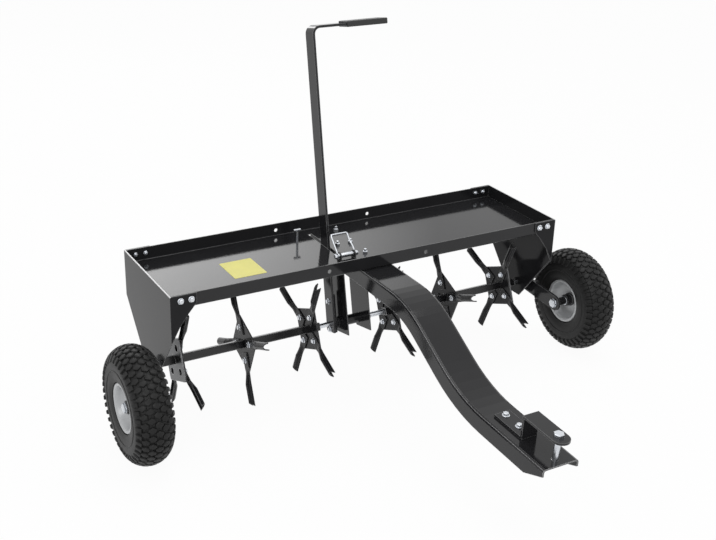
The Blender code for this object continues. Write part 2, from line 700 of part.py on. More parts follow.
def make_wheel_arm(side, parent):
    """Flat bar with round ends from the shaft to the wheel axle."""
    name = "wheel_arm_right" if side > 0 else "wheel_arm_left"
    length = math.hypot(WHEEL_LEAD, WHEEL_DROP)
    steps = 10
    outline = []
    for step in range(steps + 1):
        angle = -math.pi / 2 + math.pi * step / steps
        outline.append((ARM_WIDTH / 2 * math.cos(angle), ARM_WIDTH / 2 * math.sin(angle)))
    for step in range(steps + 1):
        angle = math.pi / 2 + math.pi * step / steps
        outline.append((-length + ARM_WIDTH / 2 * math.cos(angle), ARM_WIDTH / 2 * math.sin(angle)))
    holes = [circle(SHAFT_RADIUS + SEAT_GAP, 16),
             circle(WHEEL_AXLE_DIAMETER / 2 + SEAT_GAP, 16, (-length, 0))]
    sheet_plate(name, [outline, *holes], side * (ARM_INNER_X + ARM_THICKNESS / 2), ARM_THICKNESS,
                BLACK_COAT, parent, turn=-WHEEL_ANGLE)


def make_wheel_axle(side, parent):
    """Bolt through the arm, a spacer and the wheel, with a nut outside the hub."""
    name = "wheel_axle_right" if side > 0 else "wheel_axle_left"
    head = ARM_INNER_X - SEAT_GAP - WHEEL_X
    nut = RIM_HUB_LENGTH / 2 + RUN_GAP
    wide = WHEEL_AXLE_HEAD_DIAMETER / 2
    shank = WHEEL_AXLE_DIAMETER / 2
    spacer = WHEEL_SPACER_DIAMETER / 2
    hub = -RIM_HUB_LENGTH / 2 - RUN_GAP
    arm = ARM_OUTER_X + SEAT_GAP - WHEEL_X
    profile = [(0, nut + WHEEL_AXLE_HEAD), (wide, nut + WHEEL_AXLE_HEAD), (wide, nut),
               (shank, nut), (shank, hub), (spacer, hub), (spacer, arm), (shank, arm),
               (shank, head), (wide, head), (wide, head - WHEEL_AXLE_HEAD),
               (0, head - WHEEL_AXLE_HEAD)]
    turned(name, profile, 16, ZINC, along_x(wheel_centre(side), side), parent)


def make_rim(side, parent):
    """Dished rim with a hub, a seat for the beads and two lips."""
    name = "rim_right" if side > 0 else "rim_left"
    bore_radius = WHEEL_AXLE_DIAMETER / 2 + RUN_GAP
    hub = RIM_HUB_DIAMETER / 2
    edge = RIM_WIDTH / 2
    lip = RIM_DIAMETER / 2
    seat = lip - RIM_LIP
    web = RIM_WEB / 2
    half = [(bore_radius, RIM_HUB_LENGTH / 2), (hub, RIM_HUB_LENGTH / 2), (hub, web),
            (seat - RIM_DISH_WALL, web + RIM_DISH_RISE), (seat - RIM_SHEET, edge - RIM_SHEET),
            (lip, edge), (lip, edge - RIM_SHEET), (seat, edge - RIM_LIP)]
    profile = half + [(radius, -height) for radius, height in reversed(half)]
    turned(name, profile, TREAD_KNOBS // 2, RIM_GREY, along_x(wheel_centre(side), side), parent)


def tyre_skin(turn, lift):
    """Point of the tread, (radius, width), at a turn from its middle and a lift off the carcass."""
    widest = WHEEL_RADIUS * TYRE_WIDEST_SHARE
    rise = WHEEL_RADIUS - TREAD_DEPTH - widest
    return (widest + (rise + lift) * math.cos(turn), (WHEEL_WIDTH / 2 + lift) * math.sin(turn))


def tyre_wall():
    """Half of the tyre's wall, (radius, width), from its widest place to the bead and inside."""
    seat = RIM_DIAMETER / 2 - RIM_LIP + SEAT_GAP
    bead = RIM_WIDTH / 2 - RIM_LIP - SEAT_GAP
    lip = RIM_DIAMETER / 2 + SEAT_GAP
    half = WHEEL_WIDTH / 2
    wall = WHEEL_RADIUS - TREAD_DEPTH - lip
    outside, *inside = [(lip + wall * up, half * across)
                        for up, across in (TYRE_WALL_OUTSIDE, *TYRE_WALL_INSIDE)]
    return [(WHEEL_RADIUS * TYRE_WIDEST_SHARE, half), outside, (lip, bead + TYRE_BEAD_LIP),
            (seat, bead), (seat, bead - TYRE_BEAD_WIDTH), *inside]


def tyre_ring(shape, steps, points, start=WHEEL_FOOT):
    """Points round the wheel's X, with the (radius, width) pairs in turn, from the start angle."""
    ring = []
    for step in range(steps):
        radius, width = points[step % len(points)]
        angle = start + math.tau * step / steps
        ring.append(shape.verts.new((width, radius * math.cos(angle), radius * math.sin(angle))))
    return ring


def make_tread(shape):
    """Knobs in staggered rows: every other point stands high, and the rest lie in the grooves.

    Returns the edge rings at both sides of the tread.
    """
    columns = 2 * TREAD_KNOBS
    groove = TREAD_DEPTH - TREAD_GROOVE_DEPTH
    rows = []
    for row in range(-TREAD_SIDE_ROWS, TREAD_SIDE_ROWS + 1):
        turn = row * TREAD_ROW_TURN
        high = tyre_skin(turn, TREAD_DEPTH)
        low = tyre_skin(turn, groove)
        rows.append(tyre_ring(shape, columns, [high, low] if row % 2 == 0 else [low, high]))
    for row, (near, far) in enumerate(zip(rows, rows[1:])):
        for column in range(columns):
            after = (column + 1) % columns
            corners = [near[column], near[after], far[after], far[column]]
            if (column + row + TREAD_SIDE_ROWS) % 2 == 1:
                corners = corners[1:] + corners[:1]
            shape.faces.new((corners[0], corners[1], corners[3]))
            shape.faces.new((corners[1], corners[2], corners[3]))
    edges = []
    first = TREAD_SIDE_ROWS % 2
    for side, row in ((-1, rows[0]), (1, rows[-1])):
        turn = side * TREAD_ROW_TURN * (TREAD_SIDE_ROWS + 1)
        start = WHEEL_FOOT + math.tau * first / columns
        ring = tyre_ring(shape, TREAD_KNOBS, [tyre_skin(turn, 0.0)], start)
        for index, point in enumerate(ring):
            column = first + 2 * index
            after = row[(column + 1) % columns]
            shape.faces.new((row[column], after, point))
            shape.faces.new((row[column - 1], row[column], point))
            shape.faces.new((point, after, ring[(index + 1) % TREAD_KNOBS]))
        edges.append(ring)
    return edges


def make_tyre(side, parent):
    """Hollow tyre, open at the beads, with knobs in staggered rows."""
    name = "tyre_right" if side > 0 else "tyre_left"
    steps = TREAD_KNOBS // 2
    shape = bmesh.new()
    inner = []
    for sign, edge in zip((-1, 1), make_tread(shape)):
        rings = [tyre_ring(shape, steps, [(radius, sign * width)])
                 for radius, width in tyre_wall()]
        for index in range(steps):
            after = (index + 1) % steps
            middle = edge[2 * index + 1]
            shape.faces.new((edge[2 * index], middle, rings[0][index]))
            shape.faces.new((middle, rings[0][after], rings[0][index]))
            shape.faces.new((middle, edge[(2 * index + 2) % len(edge)], rings[0][after]))
        bridge(shape, rings)
        inner.append(rings[-1])
    bridge(shape, inner)
    bmesh.ops.recalc_face_normals(shape, faces=shape.faces)
    mesh = bpy.data.meshes.new(name)
    shape.to_mesh(mesh)
    shape.free()
    put(mesh, name, RUBBER, Matrix.Translation(wheel_centre(side)), parent)


def bridge(shape, rings):
    """Faces between rings of equal length."""
    for near, far in zip(rings, rings[1:]):
        count = len(near)
        for index in range(count):
            after = (index + 1) % count
            shape.faces.new((near[index], near[after], far[after], far[index]))


def handle_frame():
    """Frame of the handle: its own Z runs up the leaning bar."""
    return Matrix.Translation(at(0, 0, 0)) @ Matrix.Rotation(-HANDLE_LEAN, 4, "X")


def make_handle_bar(parent):
    """Flat bar bent over at the top, with a hole for the shaft at its foot."""
    bend = HANDLE_BEND_RADIUS
    line = [(HANDLE_X, -HANDLE_FOOT)]
    steps = 6
    for step in range(steps + 1):
        angle = math.pi / 2 * step / steps
        line.append((HANDLE_X + bend * (1 - math.cos(angle)),
                     HANDLE_LENGTH - bend * (1 - math.sin(angle))))
    line.append((HANDLE_X + HANDLE_REACH, HANDLE_LENGTH))
    half = HANDLE_BAR_WIDTH / 2
    rows = [[(x, y, z) for x, z in line] for y in (-half, half)]
    bar = put(grid_mesh("handle_bar", rows), "handle_bar", BLACK_COAT, handle_frame(), parent)
    solidify(bar, HANDLE_BAR_THICKNESS, 0.0)
    bore(bar, "cut_handle_bore", SHAFT_RADIUS + SEAT_GAP, at(HANDLE_X, 0, 0),
         HANDLE_BAR_THICKNESS)


def make_handle_grip(parent):
    """Flat sleeve over the end of the bar."""
    end = HANDLE_X + HANDLE_REACH + SEAT_GAP + GRIP_WALL
    start = end - GRIP_LENGTH
    height = HANDLE_BAR_THICKNESS + 2 * (GRIP_WALL + SEAT_GAP)
    grip = put(box_mesh("handle_grip", (GRIP_LENGTH, GRIP_WIDTH, height),
                        ((start + end) / 2, 0, HANDLE_LENGTH)),
               "handle_grip", GRIP_VINYL, handle_frame(), parent)
    rounding = grip.modifiers.new("rounded_edges", "BEVEL")
    rounding.width = GRIP_EDGE_RADIUS
    rounding.segments = 2
    pocket = put(box_mesh("cut_grip_pocket",
                          (GRIP_LENGTH, GRIP_WIDTH - 2 * GRIP_WALL, height - 2 * GRIP_WALL),
                          ((start + end) / 2 - GRIP_WALL, 0, HANDLE_LENGTH)),
                 "cut_grip_pocket", matrix=handle_frame())
    boolean(grip, pocket, "DIFFERENCE")


def make_handle_bracket(parent):
    """Plate bolted to the bar, with a collar round the shaft."""
    start = HANDLE_X + HANDLE_BAR_THICKNESS / 2 + SEAT_GAP
    middle = start + BRACKET_THICKNESS / 2
    height = BRACKET_HEIGHT + HANDLE_FOOT
    mesh = box_mesh("handle_bracket", (BRACKET_THICKNESS, BRACKET_WIDTH, height),
                    (middle, 0, (BRACKET_HEIGHT - HANDLE_FOOT) / 2))
    bracket = put(mesh, "handle_bracket", BLACK_COAT, handle_frame(), parent)
    collar = put(cylinder_mesh("join_bracket_collar", BRACKET_COLLAR_DIAMETER / 2, middle,
                               bracket_collar_end(), 24),
                 "join_bracket_collar", matrix=along_x(at(0, 0, 0)))
    boolean(bracket, collar, "UNION")
    bore(bracket, "cut_bracket_bore", SHAFT_RADIUS + SEAT_GAP, at(middle, 0, 0),
         BRACKET_THICKNESS + BRACKET_COLLAR_LENGTH)


def star_angle(index):
    """Direction of a star's first spoon: the second of three is turned half a step."""
    return STAR_TURN if index % 3 == 1 else -STAR_TURN


def star_x(index):
    """X of a star plate's middle."""
    places = [-x for x in reversed(STAR_PLACES)] + list(STAR_PLACES)
    return places[index]


def spoon_side(index):
    """+1 where the spoons stand on the +X face of the plate: only on the first star."""
    return 1 if index == 0 else -1


def as_yz(angle):
    """Angle of an outline in (y, z) for a direction measured from forward to up."""
    return math.pi - angle


def make_star_plate(index, parent):
    """Square plate with a square hole that fits the tube."""
    turn = as_yz(star_angle(index))
    tube_turn = as_yz(-STAR_TURN)
    outlines = [square(STAR_PLATE_WIDTH, STAR_PLATE_CORNER_RADIUS, turn),
                square(TUBE_WIDTH + 2 * SEAT_GAP, TUBE_CORNER_RADIUS, tube_turn)]
    sheet_plate(f"star_plate_{index + 1}", outlines, star_x(index), STAR_PLATE_SHEET,
                BLACK_COAT, parent)


def make_spool_tube(side, parent):
    """Square tube with its zinc end plate, bored to run on the shaft."""
    name = "spool_tube_right" if side > 0 else "spool_tube_left"
    inner = TUBE_INNER_END_RIGHT if side > 0 else TUBE_INNER_END_LEFT
    outer = END_INNER_X - TUBE_END_CLEARANCE
    turn = as_yz(-STAR_TURN)
    outlines = [square(TUBE_WIDTH, TUBE_CORNER_RADIUS, turn),
                square(TUBE_BORE, TUBE_BORE_CORNER_RADIUS, turn)]
    tube = sheet_plate(name, outlines, side * (inner + outer) / 2, outer - inner, ZINC, parent)
    plate_x = OUTER_STAR_X + STAR_PLATE_SHEET + SEAT_GAP
    plate_outlines = [square(STAR_PLATE_WIDTH, STAR_PLATE_CORNER_RADIUS, turn),
                      square(TUBE_WIDTH - TUBE_CORNER_RADIUS, TUBE_CORNER_RADIUS, turn)]
    for corner in range(4):
        angle = turn + math.tau * corner / 4
        plate_outlines.append(circle(END_STAR_HOLE_DIAMETER / 2, 14,
                                     (END_STAR_HOLE_RADIUS * math.cos(angle),
                                      END_STAR_HOLE_RADIUS * math.sin(angle))))
    plate = sheet_plate(f"join_{name}_plate", plate_outlines, side * plate_x, STAR_PLATE_SHEET,
                        None)
    boolean(tube, plate, "UNION")


def spoon_rows(face, lean):
    """Outer surface of a spoon: flat at its root, rolled into a trough at its tip.

    face is +1 or -1, the side of the plate that the spoon stands on.
    """
    stations = (SPOON_ROOT_RADIUS, SPOON_FLAT_END_RADIUS, SPOON_HALF_ROLLED_RADIUS,
                SPOON_ROLLED_RADIUS, SPOON_TIP_RADIUS)
    seat = STAR_PLATE_SHEET / 2 + SEAT_GAP
    rows = []
    for reach in stations:
        roll = (reach - SPOON_FLAT_END_RADIUS) / (SPOON_ROLLED_RADIUS - SPOON_FLAT_END_RADIUS)
        roll = min(max(roll, 0.0), 1.0)
        width = SPOON_ROOT_WIDTH + (SPOON_TIP_WIDTH - SPOON_ROOT_WIDTH) * roll
        row = []
        for column in range(SPOON_COLUMNS + 1):
            share = 2 * column / SPOON_COLUMNS - 1
            across = share + (math.sin(share * math.pi / 2) - share) * roll
            arch = math.cos(share * math.pi / 2)
            height = SPOON_SHEET + (SPOON_DEPTH - SPOON_SHEET) * arch * roll
            height -= (SPOON_SHEET - SPOON_LIP) * (1 - arch) * roll
            radial = reach
            if reach == SPOON_TIP_RADIUS:
                radial -= SPOON_PRONG_LENGTH * arch
            row.append(Vector((face * (seat + height),
                               -radial * math.cos(lean) - across * width / 2 * math.sin(lean),
                               radial * math.sin(lean) - across * width / 2 * math.cos(lean))))
        rows.append(row)
    return rows


def make_spoon(index, number, parent):
    """One rolled spoon of a star."""
    name = f"spoon_{index + 1}{'abcd'[number]}"
    face = spoon_side(index)
    lean = star_angle(index) + math.tau * number / SPOONS_PER_STAR
    mesh = grid_mesh(name, spoon_rows(face, lean))
    if face > 0:
        mesh.flip_normals()
    spoon = put(mesh, name, BLACK_COAT, Matrix.Translation(at(star_x(index), 0, 0)), parent)
    solidify(spoon, SPOON_SHEET, -1.0)


def latch_pivot():
    """Middle of the latch pin."""
    return at(LATCH_X, -LATCH_AHEAD_OF_AXLE, TRAY_FLOOR_ABOVE_AXLE + LATCH_PIN_ABOVE_FLOOR)


def make_latch_base():
    """Plate on the tray floor with an ear folded up at each side."""
    half = LATCH_EAR_SPACING / 2
    low = SEAT_GAP - LATCH_PIN_ABOVE_FLOOR
    base = put(box_mesh("latch_base", (LATCH_EAR_SPACING, LATCH_BASE_DEPTH, LATCH_SHEET),
                        (0, -LATCH_BASE_AHEAD, low + LATCH_SHEET / 2)),
               "latch_base", BLACK_COAT, Matrix.Translation(latch_pivot()))
    ear_half = LATCH_EAR_WIDTH / 2
    ear = [(-ear_half, low), (ear_half, low)]
    steps = 6
    for step in range(steps + 1):
        angle = math.pi * step / steps
        ear.append((ear_half * math.cos(angle), ear_half * math.sin(angle)))
    for side in (-1, 1):
        hole = circle(LATCH_PIN_DIAMETER / 2 + SEAT_GAP, 12)
        mesh = outline_mesh(f"join_latch_ear_{side + 1}", [ear, hole], LATCH_SHEET)
        place = Matrix.Translation(latch_pivot() + Vector((side * (half - LATCH_SHEET / 2), 0, 0)))
        joined = put(mesh, mesh.name, matrix=place @ FACING_X)
        boolean(base, joined, "UNION")


def make_latch_pin(parent):
    """Pin through the ears with a spacer between them and a head at each end."""
    end = LATCH_EAR_SPACING / 2 + LATCH_PIN_OVERHANG
    inside = LATCH_EAR_SPACING / 2 - LATCH_SHEET - SEAT_GAP
    thin = LATCH_PIN_DIAMETER / 2
    wide = LATCH_SPACER_DIAMETER / 2
    head = end - LATCH_PIN_HEAD
    half = [(0, end), (wide, end), (wide, head), (thin, head), (thin, inside), (wide, inside)]
    profile = half + [(radius, -height) for radius, height in reversed(half)]
    turned("latch_pin", profile, 12, ZINC, along_x(latch_pivot()), parent)


def make_latch_bail(parent):
    """Wire bail with an eye round each end of the latch pin and a knee in its right leg."""
    wire = BAIL_WIRE_DIAMETER / 2
    eye_x = LATCH_EAR_SPACING / 2 + SEAT_GAP + wire
    eye = BAIL_EYE_DIAMETER / 2 - wire / 2
    top = BAIL_LEG
    bend = BAIL_CORNER
    line = [(-eye_x, eye), (-eye_x, top - bend), (bend - eye_x, top), (eye_x - 2 * bend, top),
            (eye_x - bend, top - bend), (eye_x - bend, BAIL_KNEE_TOP), (eye_x, BAIL_KNEE_FOOT),
            (eye_x, eye)]
    curve = bpy.data.curves.new("latch_bail", "CURVE")
    curve.dimensions = "3D"
    curve.bevel_depth = wire
    curve.bevel_resolution = 1
    curve.use_fill_caps = True
    spline = curve.splines.new("POLY")
    spline.points.add(len(line) - 1)
    for point, (x, z) in zip(spline.points, line):
        point.co = (x, 0, z, 1)
    frame = Matrix.Translation(latch_pivot()) @ Matrix.Rotation(-BAIL_LEAN, 4, "X")
    bail = put(curve_mesh(curve), "latch_bail", ZINC, frame, parent)
    for side in (-1, 1):
        ring = outline_mesh(f"join_bail_eye_{side + 1}",
                            [circle(BAIL_EYE_DIAMETER / 2, 14),
                             circle(LATCH_PIN_DIAMETER / 2 + RUN_GAP, 12)], BAIL_WIRE_DIAMETER)
        joined = put(ring, ring.name,
                     matrix=Matrix.Translation(latch_pivot() + Vector((side * eye_x, 0, 0))) @ FACING_X)
        boolean(bail, joined, "UNION")


def make_lock_pin(parent):
    """T-headed pin standing in a hole of the tray floor on its collar."""
    thin = LOCK_PIN_DIAMETER / 2
    wide = LOCK_PIN_COLLAR_DIAMETER / 2
    collar = SEAT_GAP + LOCK_PIN_COLLAR
    place = at(LOCK_PIN_X, LOCK_PIN_BEHIND_AXLE, TRAY_FLOOR_ABOVE_AXLE)
    profile = [(0, LOCK_PIN_HEIGHT), (thin, LOCK_PIN_HEIGHT), (thin, collar), (wide, collar),
               (wide, SEAT_GAP), (thin, SEAT_GAP), (thin, -LOCK_PIN_BELOW_FLOOR),
               (0, -LOCK_PIN_BELOW_FLOOR - thin)]
    pin = turned("lock_pin", profile, 12, ZINC, Matrix.Translation(place), parent)
    bar = put(cylinder_mesh("join_lock_pin_bar", LOCK_PIN_BAR_DIAMETER / 2,
                            -LOCK_PIN_BAR_LENGTH / 2, LOCK_PIN_BAR_LENGTH / 2, 12),
              "join_lock_pin_bar", matrix=along_x(place + Vector((0, 0, LOCK_PIN_HEIGHT))))
    boolean(pin, bar, "UNION")


def main():
    """Build the frame, then what turns or slides on it."""
    make_tray()
    make_drawbar()
    make_hitch_bracket()
    make_sleeve()
    make_latch_base()
    for side in (-1, 1):
        make_end_plate(side)
        make_bearing(side)
        make_hanger(side)
    make_hitch_pin(pivot("hitch_pin_slide", nose_frame() @ pin_foot(), NOSE_SLOPE))
    make_lock_pin(pivot("lock_pin_slide", at(LOCK_PIN_X, LOCK_PIN_BEHIND_AXLE,
                                             TRAY_FLOOR_ABOVE_AXLE)))
    latch = pivot("latch_axis", latch_pivot())
    make_latch_bail(latch)
    make_latch_pin(None)
    lift = pivot("lift_axis", at(0, 0, 0))
    make_shaft(lift)
    make_handle_bar(lift)
    make_handle_grip(lift)
    make_handle_bracket(lift)
    for side, first in ((-1, 0), (1, 3)):
        label = "right" if side > 0 else "left"
        make_wheel_arm(side, lift)
        make_wheel_axle(side, lift)
        wheel = pivot(f"wheel_{label}_axis", wheel_centre(side))
        wheel.parent = lift
        wheel.matrix_parent_inverse = lift.matrix_world.inverted()
        make_rim(side, wheel)
        make_tyre(side, wheel)
        spool = pivot(f"spool_{label}_axis", at(0, 0, 0))
        make_spool_tube(side, spool)
        for index in range(first, first + 3):
            make_star_plate(index, spool)
            for number in range(SPOONS_PER_STAR):
                make_spoon(index, number, spool)


main()
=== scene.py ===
"""Looks of a tow-behind plug aerator: finishes, tyres, rims, fasteners and small wire parts.

Metres, +Z up. X runs along the star axle and the hitch points to -Y.
"""
import json
import math

import bmesh
import bpy
from bpy.props import FloatProperty, FloatVectorProperty, IntProperty, PointerProperty
from mathutils import Matrix, Vector


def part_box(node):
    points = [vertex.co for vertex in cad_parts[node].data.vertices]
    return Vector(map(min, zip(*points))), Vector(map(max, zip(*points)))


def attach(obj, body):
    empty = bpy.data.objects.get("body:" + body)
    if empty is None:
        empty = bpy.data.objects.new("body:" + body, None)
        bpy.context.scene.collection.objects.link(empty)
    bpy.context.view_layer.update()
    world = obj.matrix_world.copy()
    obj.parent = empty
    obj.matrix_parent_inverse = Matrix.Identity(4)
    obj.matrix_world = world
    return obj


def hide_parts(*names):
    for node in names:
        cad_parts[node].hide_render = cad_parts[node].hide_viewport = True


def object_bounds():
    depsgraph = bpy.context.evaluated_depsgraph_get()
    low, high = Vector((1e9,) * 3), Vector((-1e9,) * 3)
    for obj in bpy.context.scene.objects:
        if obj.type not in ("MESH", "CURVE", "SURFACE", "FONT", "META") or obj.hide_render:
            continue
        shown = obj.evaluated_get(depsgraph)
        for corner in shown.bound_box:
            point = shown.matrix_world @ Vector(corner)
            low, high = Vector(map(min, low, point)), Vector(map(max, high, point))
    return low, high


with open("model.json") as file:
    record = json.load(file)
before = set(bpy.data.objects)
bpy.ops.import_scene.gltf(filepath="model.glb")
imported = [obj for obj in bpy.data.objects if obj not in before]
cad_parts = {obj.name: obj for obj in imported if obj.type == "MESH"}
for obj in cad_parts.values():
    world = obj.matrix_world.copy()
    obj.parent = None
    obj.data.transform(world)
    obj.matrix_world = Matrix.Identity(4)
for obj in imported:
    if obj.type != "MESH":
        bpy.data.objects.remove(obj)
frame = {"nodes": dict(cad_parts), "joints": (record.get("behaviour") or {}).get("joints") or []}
CAD_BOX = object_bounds()

bl_info = {
    "name": "Plug Aerator Looks",
    "version": (1, 0, 0),
    "blender": (4, 5, 0),
    "location": "View3D > Sidebar > Aerator",
    "description": "Finishes, tyres, rims and fasteners of a tow-behind plug aerator",
    "category": "Object",
}

X_AXIS = Vector((1, 0, 0))
Y_AXIS = Vector((0, 1, 0))
Z_AXIS = Vector((0, 0, 1))


def box_middle(node):
    """Middle of a CAD node's box."""
    low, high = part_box(node)
    return (low + high) / 2


AXLE = Vector((0, box_middle("lift_shaft").y, box_middle("lift_shaft").z))
TRAY_LOW, TRAY_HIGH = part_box("tray")
END_LOW, END_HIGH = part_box("end_plate_right")
WHEEL_PLACES = {-1: box_middle("rim_left"), 1: box_middle("rim_right")}
SIDES = {-1: "left", 1: "right"}
# Gap between a shown piece and the end of the solid's box
CLEARANCE = 0.0002
# The end plates' own top edges get a painted highlight above this height and outside this reach
PAINTED_TOP_EDGE_HIGHLIGHT = (END_HIGH.z - 0.0012, END_HIGH.x - 0.0026)


# Measures of the tray and its bolts

TRAY_SHEET = 0.002
TRAY_FLOOR = TRAY_LOW.z + TRAY_SHEET
# Inner face of each long wall, and the way from it to the middle of the tray
TRAY_WALLS = ((TRAY_LOW.y + TRAY_SHEET, 1), (TRAY_HIGH.y - TRAY_SHEET, -1))
FOLD_RADIUS = 0.0022
FOLD_STEPS = 8
# The fillets sink this far into the sheets that they join
FOLD_SUNK = 0.0004
FLANGE_BOLT_REACHES = (0.460, 0.484)
FLANGE_BOLT_HEIGHT = AXLE.z + 0.209
# Places of the floor's bolts, from the axle's middle
FLOOR_BOLTS = ((0.020, 0.111), (0.014, -0.043), (0.013, 0.027), (-0.022, 0.027))
WEB_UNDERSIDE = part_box("drawbar")[1].z - 0.0031
# Opposite corners of the label, from the axle's middle
LABEL_LOW = (-0.321, -0.045)
LABEL_HIGH = (-0.242, 0.046)
LABEL_CORNER = 0.003
LABEL_STEPS = 4

# Measures of the stars, from the axle or from the plate's middle

PLATE_STARTS_AT = 0.0150
SPOON_OUTER_FACE = 0.0047
SPOON_BOLT_RADIUS = 0.0395
STAR_PLATE_HALF = 0.0016

# Measures of handle, latch, pins and wheels

HANDLE_LEAN = math.radians(10.4)
# Heights of the handle's bolts along the bar; the upper one holds the bracket's plate
FOOT_BOLT_HEIGHT = -0.0145
BRACKET_BOLT_HEIGHT = 0.057
BRACKET_COLLAR_LENGTH = 0.007
BAIL_LEAN = math.radians(45.0)
BAIL_REACH = 0.054
BAIL_FOOT = 0.0055
BAIL_WIRE = 0.0019
BAIL_BEND = 0.005
LATCH_PIN_RADIUS = 0.0034
LATCH_HEAD = 0.0100
LATCH_HEAD_HEIGHT = 0.0044
ROLLER_RADIUS = 0.0054
ROLLER_HALF = 0.0165
EAR_BOLT = 0.0085
EAR_BOLT_HEIGHT = 0.0075
LOCK_BAR_RADIUS = 0.0026
LOCK_STEM_RADIUS = 0.0027
# Reach of the hitch's bolts behind its pin, and the height of the bracket's upper face there
HITCH_BOLTS = (0.114, 0.158)
HITCH_PLATE_TOP = 0.0053
# Height of the middle of the pin's box over the drawbar's web
HITCH_PIN_MIDDLE = 0.0243
HITCH_PIN_FOOT = -0.0118
HITCH_PIN_RADIUS = 0.00615
HITCH_HEAD = 0.0188
HITCH_HEAD_HEIGHT = 0.0070
SHAFT_RADIUS = 0.00635
SHAFT_NUT = 0.0182
SHAFT_NUT_HEIGHT = 0.0052
WHEEL_BOLT_RADIUS = 0.0074
WHEEL_BOLT_HEAD_HEIGHT = 0.0060
HEAD_WASHER_RADIUS = 0.0119
WASHER_RADIUS = 0.0118
SPACER_RADIUS = 0.0100
HUB_BELOW_LIP = 0.0082
VALVE_FROM_HUB = (0.006, 0.016, 0.030)

# Stage

WORLD_LEVEL = 0.65
FLOOR_REACH = 30.0
FLOOR_BELOW_SPOONS = 0.0005
PHOTO_WIDTH = 716
PHOTO_FOCAL_PIXELS = 1148.37
CAMERA_AZIMUTH = math.radians(-30.4934)
CAMERA_ELEVATION = math.radians(24.0018)
CAMERA_ROLL = math.radians(1.7487)
CAMERA_DISTANCE = 2.7703
CAMERA_TARGET = Vector((0.0212, 0.0, 0.1283))
LAMPS_AIM = AXLE + Vector((0, 0, 0.15))
# Name, place, size and power of each lamp, and whether it fades towards the right
LAMPS = (
    ("front_left_softbox", (-2.2, -2.0, 2.4), (1.6, 1.6), 26.0, False),
    ("top_softbox", (0.2, 0.2, 3.0), (2.4, 1.6), 22.0, False),
    ("rear_softbox", (1.3, 3.4, 1.86), (3.6, 0.5), 6.2, True),
    ("right_softbox", (2.8, -0.6, 1.4), (1.0, 1.6), 8.0, False),
)
# Share of a fading lamp's width that gives no light, and the strength at its other end
FADED_AT = 0.25
STRONG_SIDE = 5.0


# Settings that a user would change


class FinishSettings(bpy.types.PropertyGroup):
    """Colours and gloss of the finishes."""

    coat: FloatVectorProperty(name="Powder coat", description="Colour of the black powder coat",
                              subtype="COLOR", default=(0.010, 0.010, 0.011), min=0, max=1)
    coat_gloss: FloatProperty(name="Coat roughness", description="Roughness of the powder coat",
                              subtype="FACTOR", default=0.07, min=0, max=1)
    zinc: FloatVectorProperty(name="Zinc", description="Colour of the zinc plating",
                              subtype="COLOR", default=(0.70, 0.71, 0.72), min=0, max=1)
    rubber: FloatVectorProperty(name="Rubber", description="Colour of the tyres",
                                subtype="COLOR", default=(0.006, 0.006, 0.006), min=0, max=1)
    rim: FloatVectorProperty(name="Rim paint", description="Colour of the grey rims",
                             subtype="COLOR", default=(0.48, 0.49, 0.50), min=0, max=1)
    label: FloatVectorProperty(name="Label", description="Colour of the blank label",
                               subtype="COLOR", default=(0.60, 0.56, 0.13), min=0, max=1)


class TyreSettings(bpy.types.PropertyGroup):
    """Sizes of the tyres."""

    radius: FloatProperty(name="Radius", description="Radius over the knobs", subtype="DISTANCE",
                          unit="LENGTH", default=0.132)
    half_width: FloatProperty(name="Half width", description="Half of the tyre's width",
                              subtype="DISTANCE", unit="LENGTH", default=0.0445)
    knob_height: FloatProperty(name="Knob height", description="Height of the tread knobs",
                               subtype="DISTANCE", unit="LENGTH", default=0.0045)
    knobs_round: IntProperty(name="Knobs round", description="Knobs in one row round the tyre",
                             default=40, min=12)


class RimSettings(bpy.types.PropertyGroup):
    """Sizes of the rims."""

    radius: FloatProperty(name="Radius", description="Radius over the rim's lip",
                          subtype="DISTANCE", unit="LENGTH", default=0.056)
    half_width: FloatProperty(name="Half width", description="Half of the rim's width",
                              subtype="DISTANCE", unit="LENGTH", default=0.036)


class FastenerSettings(bpy.types.PropertyGroup):
    """Sizes of the bolts and nuts."""

    small: FloatProperty(name="Small bolt", description="Width across the flats of the small bolts",
                         subtype="DISTANCE", unit="LENGTH", default=0.010)
    large: FloatProperty(name="Large bolt", description="Width across the flats of the wheel bolts",
                         subtype="DISTANCE", unit="LENGTH", default=0.0205)


# Shader maths

# Pale grey of the painted highlight along the powder coat's sharp edges
PAINTED_EDGE_GREY = (0.80, 0.80, 0.81)
FLOOR_GLOW = 0.95
FINISHES = {}

# Places of the colour sockets on a Mix node
MIX_FACTOR = 0
MIX_FIRST = 6
MIX_SECOND = 7
MIX_COLOUR = 2


class Value:
    """A node's output socket that takes part in sums and products."""

    def __init__(self, tree, socket):
        self.tree = tree
        self.socket = socket

    def maths(self, operation, first, second):
        return node(self.tree, "ShaderNodeMath", {"operation": operation}, {0: first, 1: second})

    def __add__(self, other):
        return self.maths("ADD", self, other)

    __radd__ = __add__

    def __rsub__(self, other):
        return self.maths("SUBTRACT", other, self)

    def __mul__(self, other):
        return self.maths("MULTIPLY", self, other)

    __rmul__ = __mul__

    def __gt__(self, other):
        return self.maths("GREATER_THAN", self, other)


def fill(tree, made, sockets):
    """Give a node's input sockets their values or links."""
    for name, content in sockets.items():
        socket = made.inputs[name]
        if isinstance(content, Value):
            tree.links.new(content.socket, socket)
        elif isinstance(content, tuple) and len(content) < len(socket.default_value):
            socket.default_value = (*content, 1.0)
        else:
            socket.default_value = content


def node(tree, kind, settings=None, sockets=None, output=0):
    """Add a node: its settings first, then the values or links of its sockets."""
    made = tree.nodes.new(kind)
    for name, setting in (settings or {}).items():
        setattr(made, name, setting)
    fill(tree, made, sockets or {})
    return Value(tree, made.outputs[output])


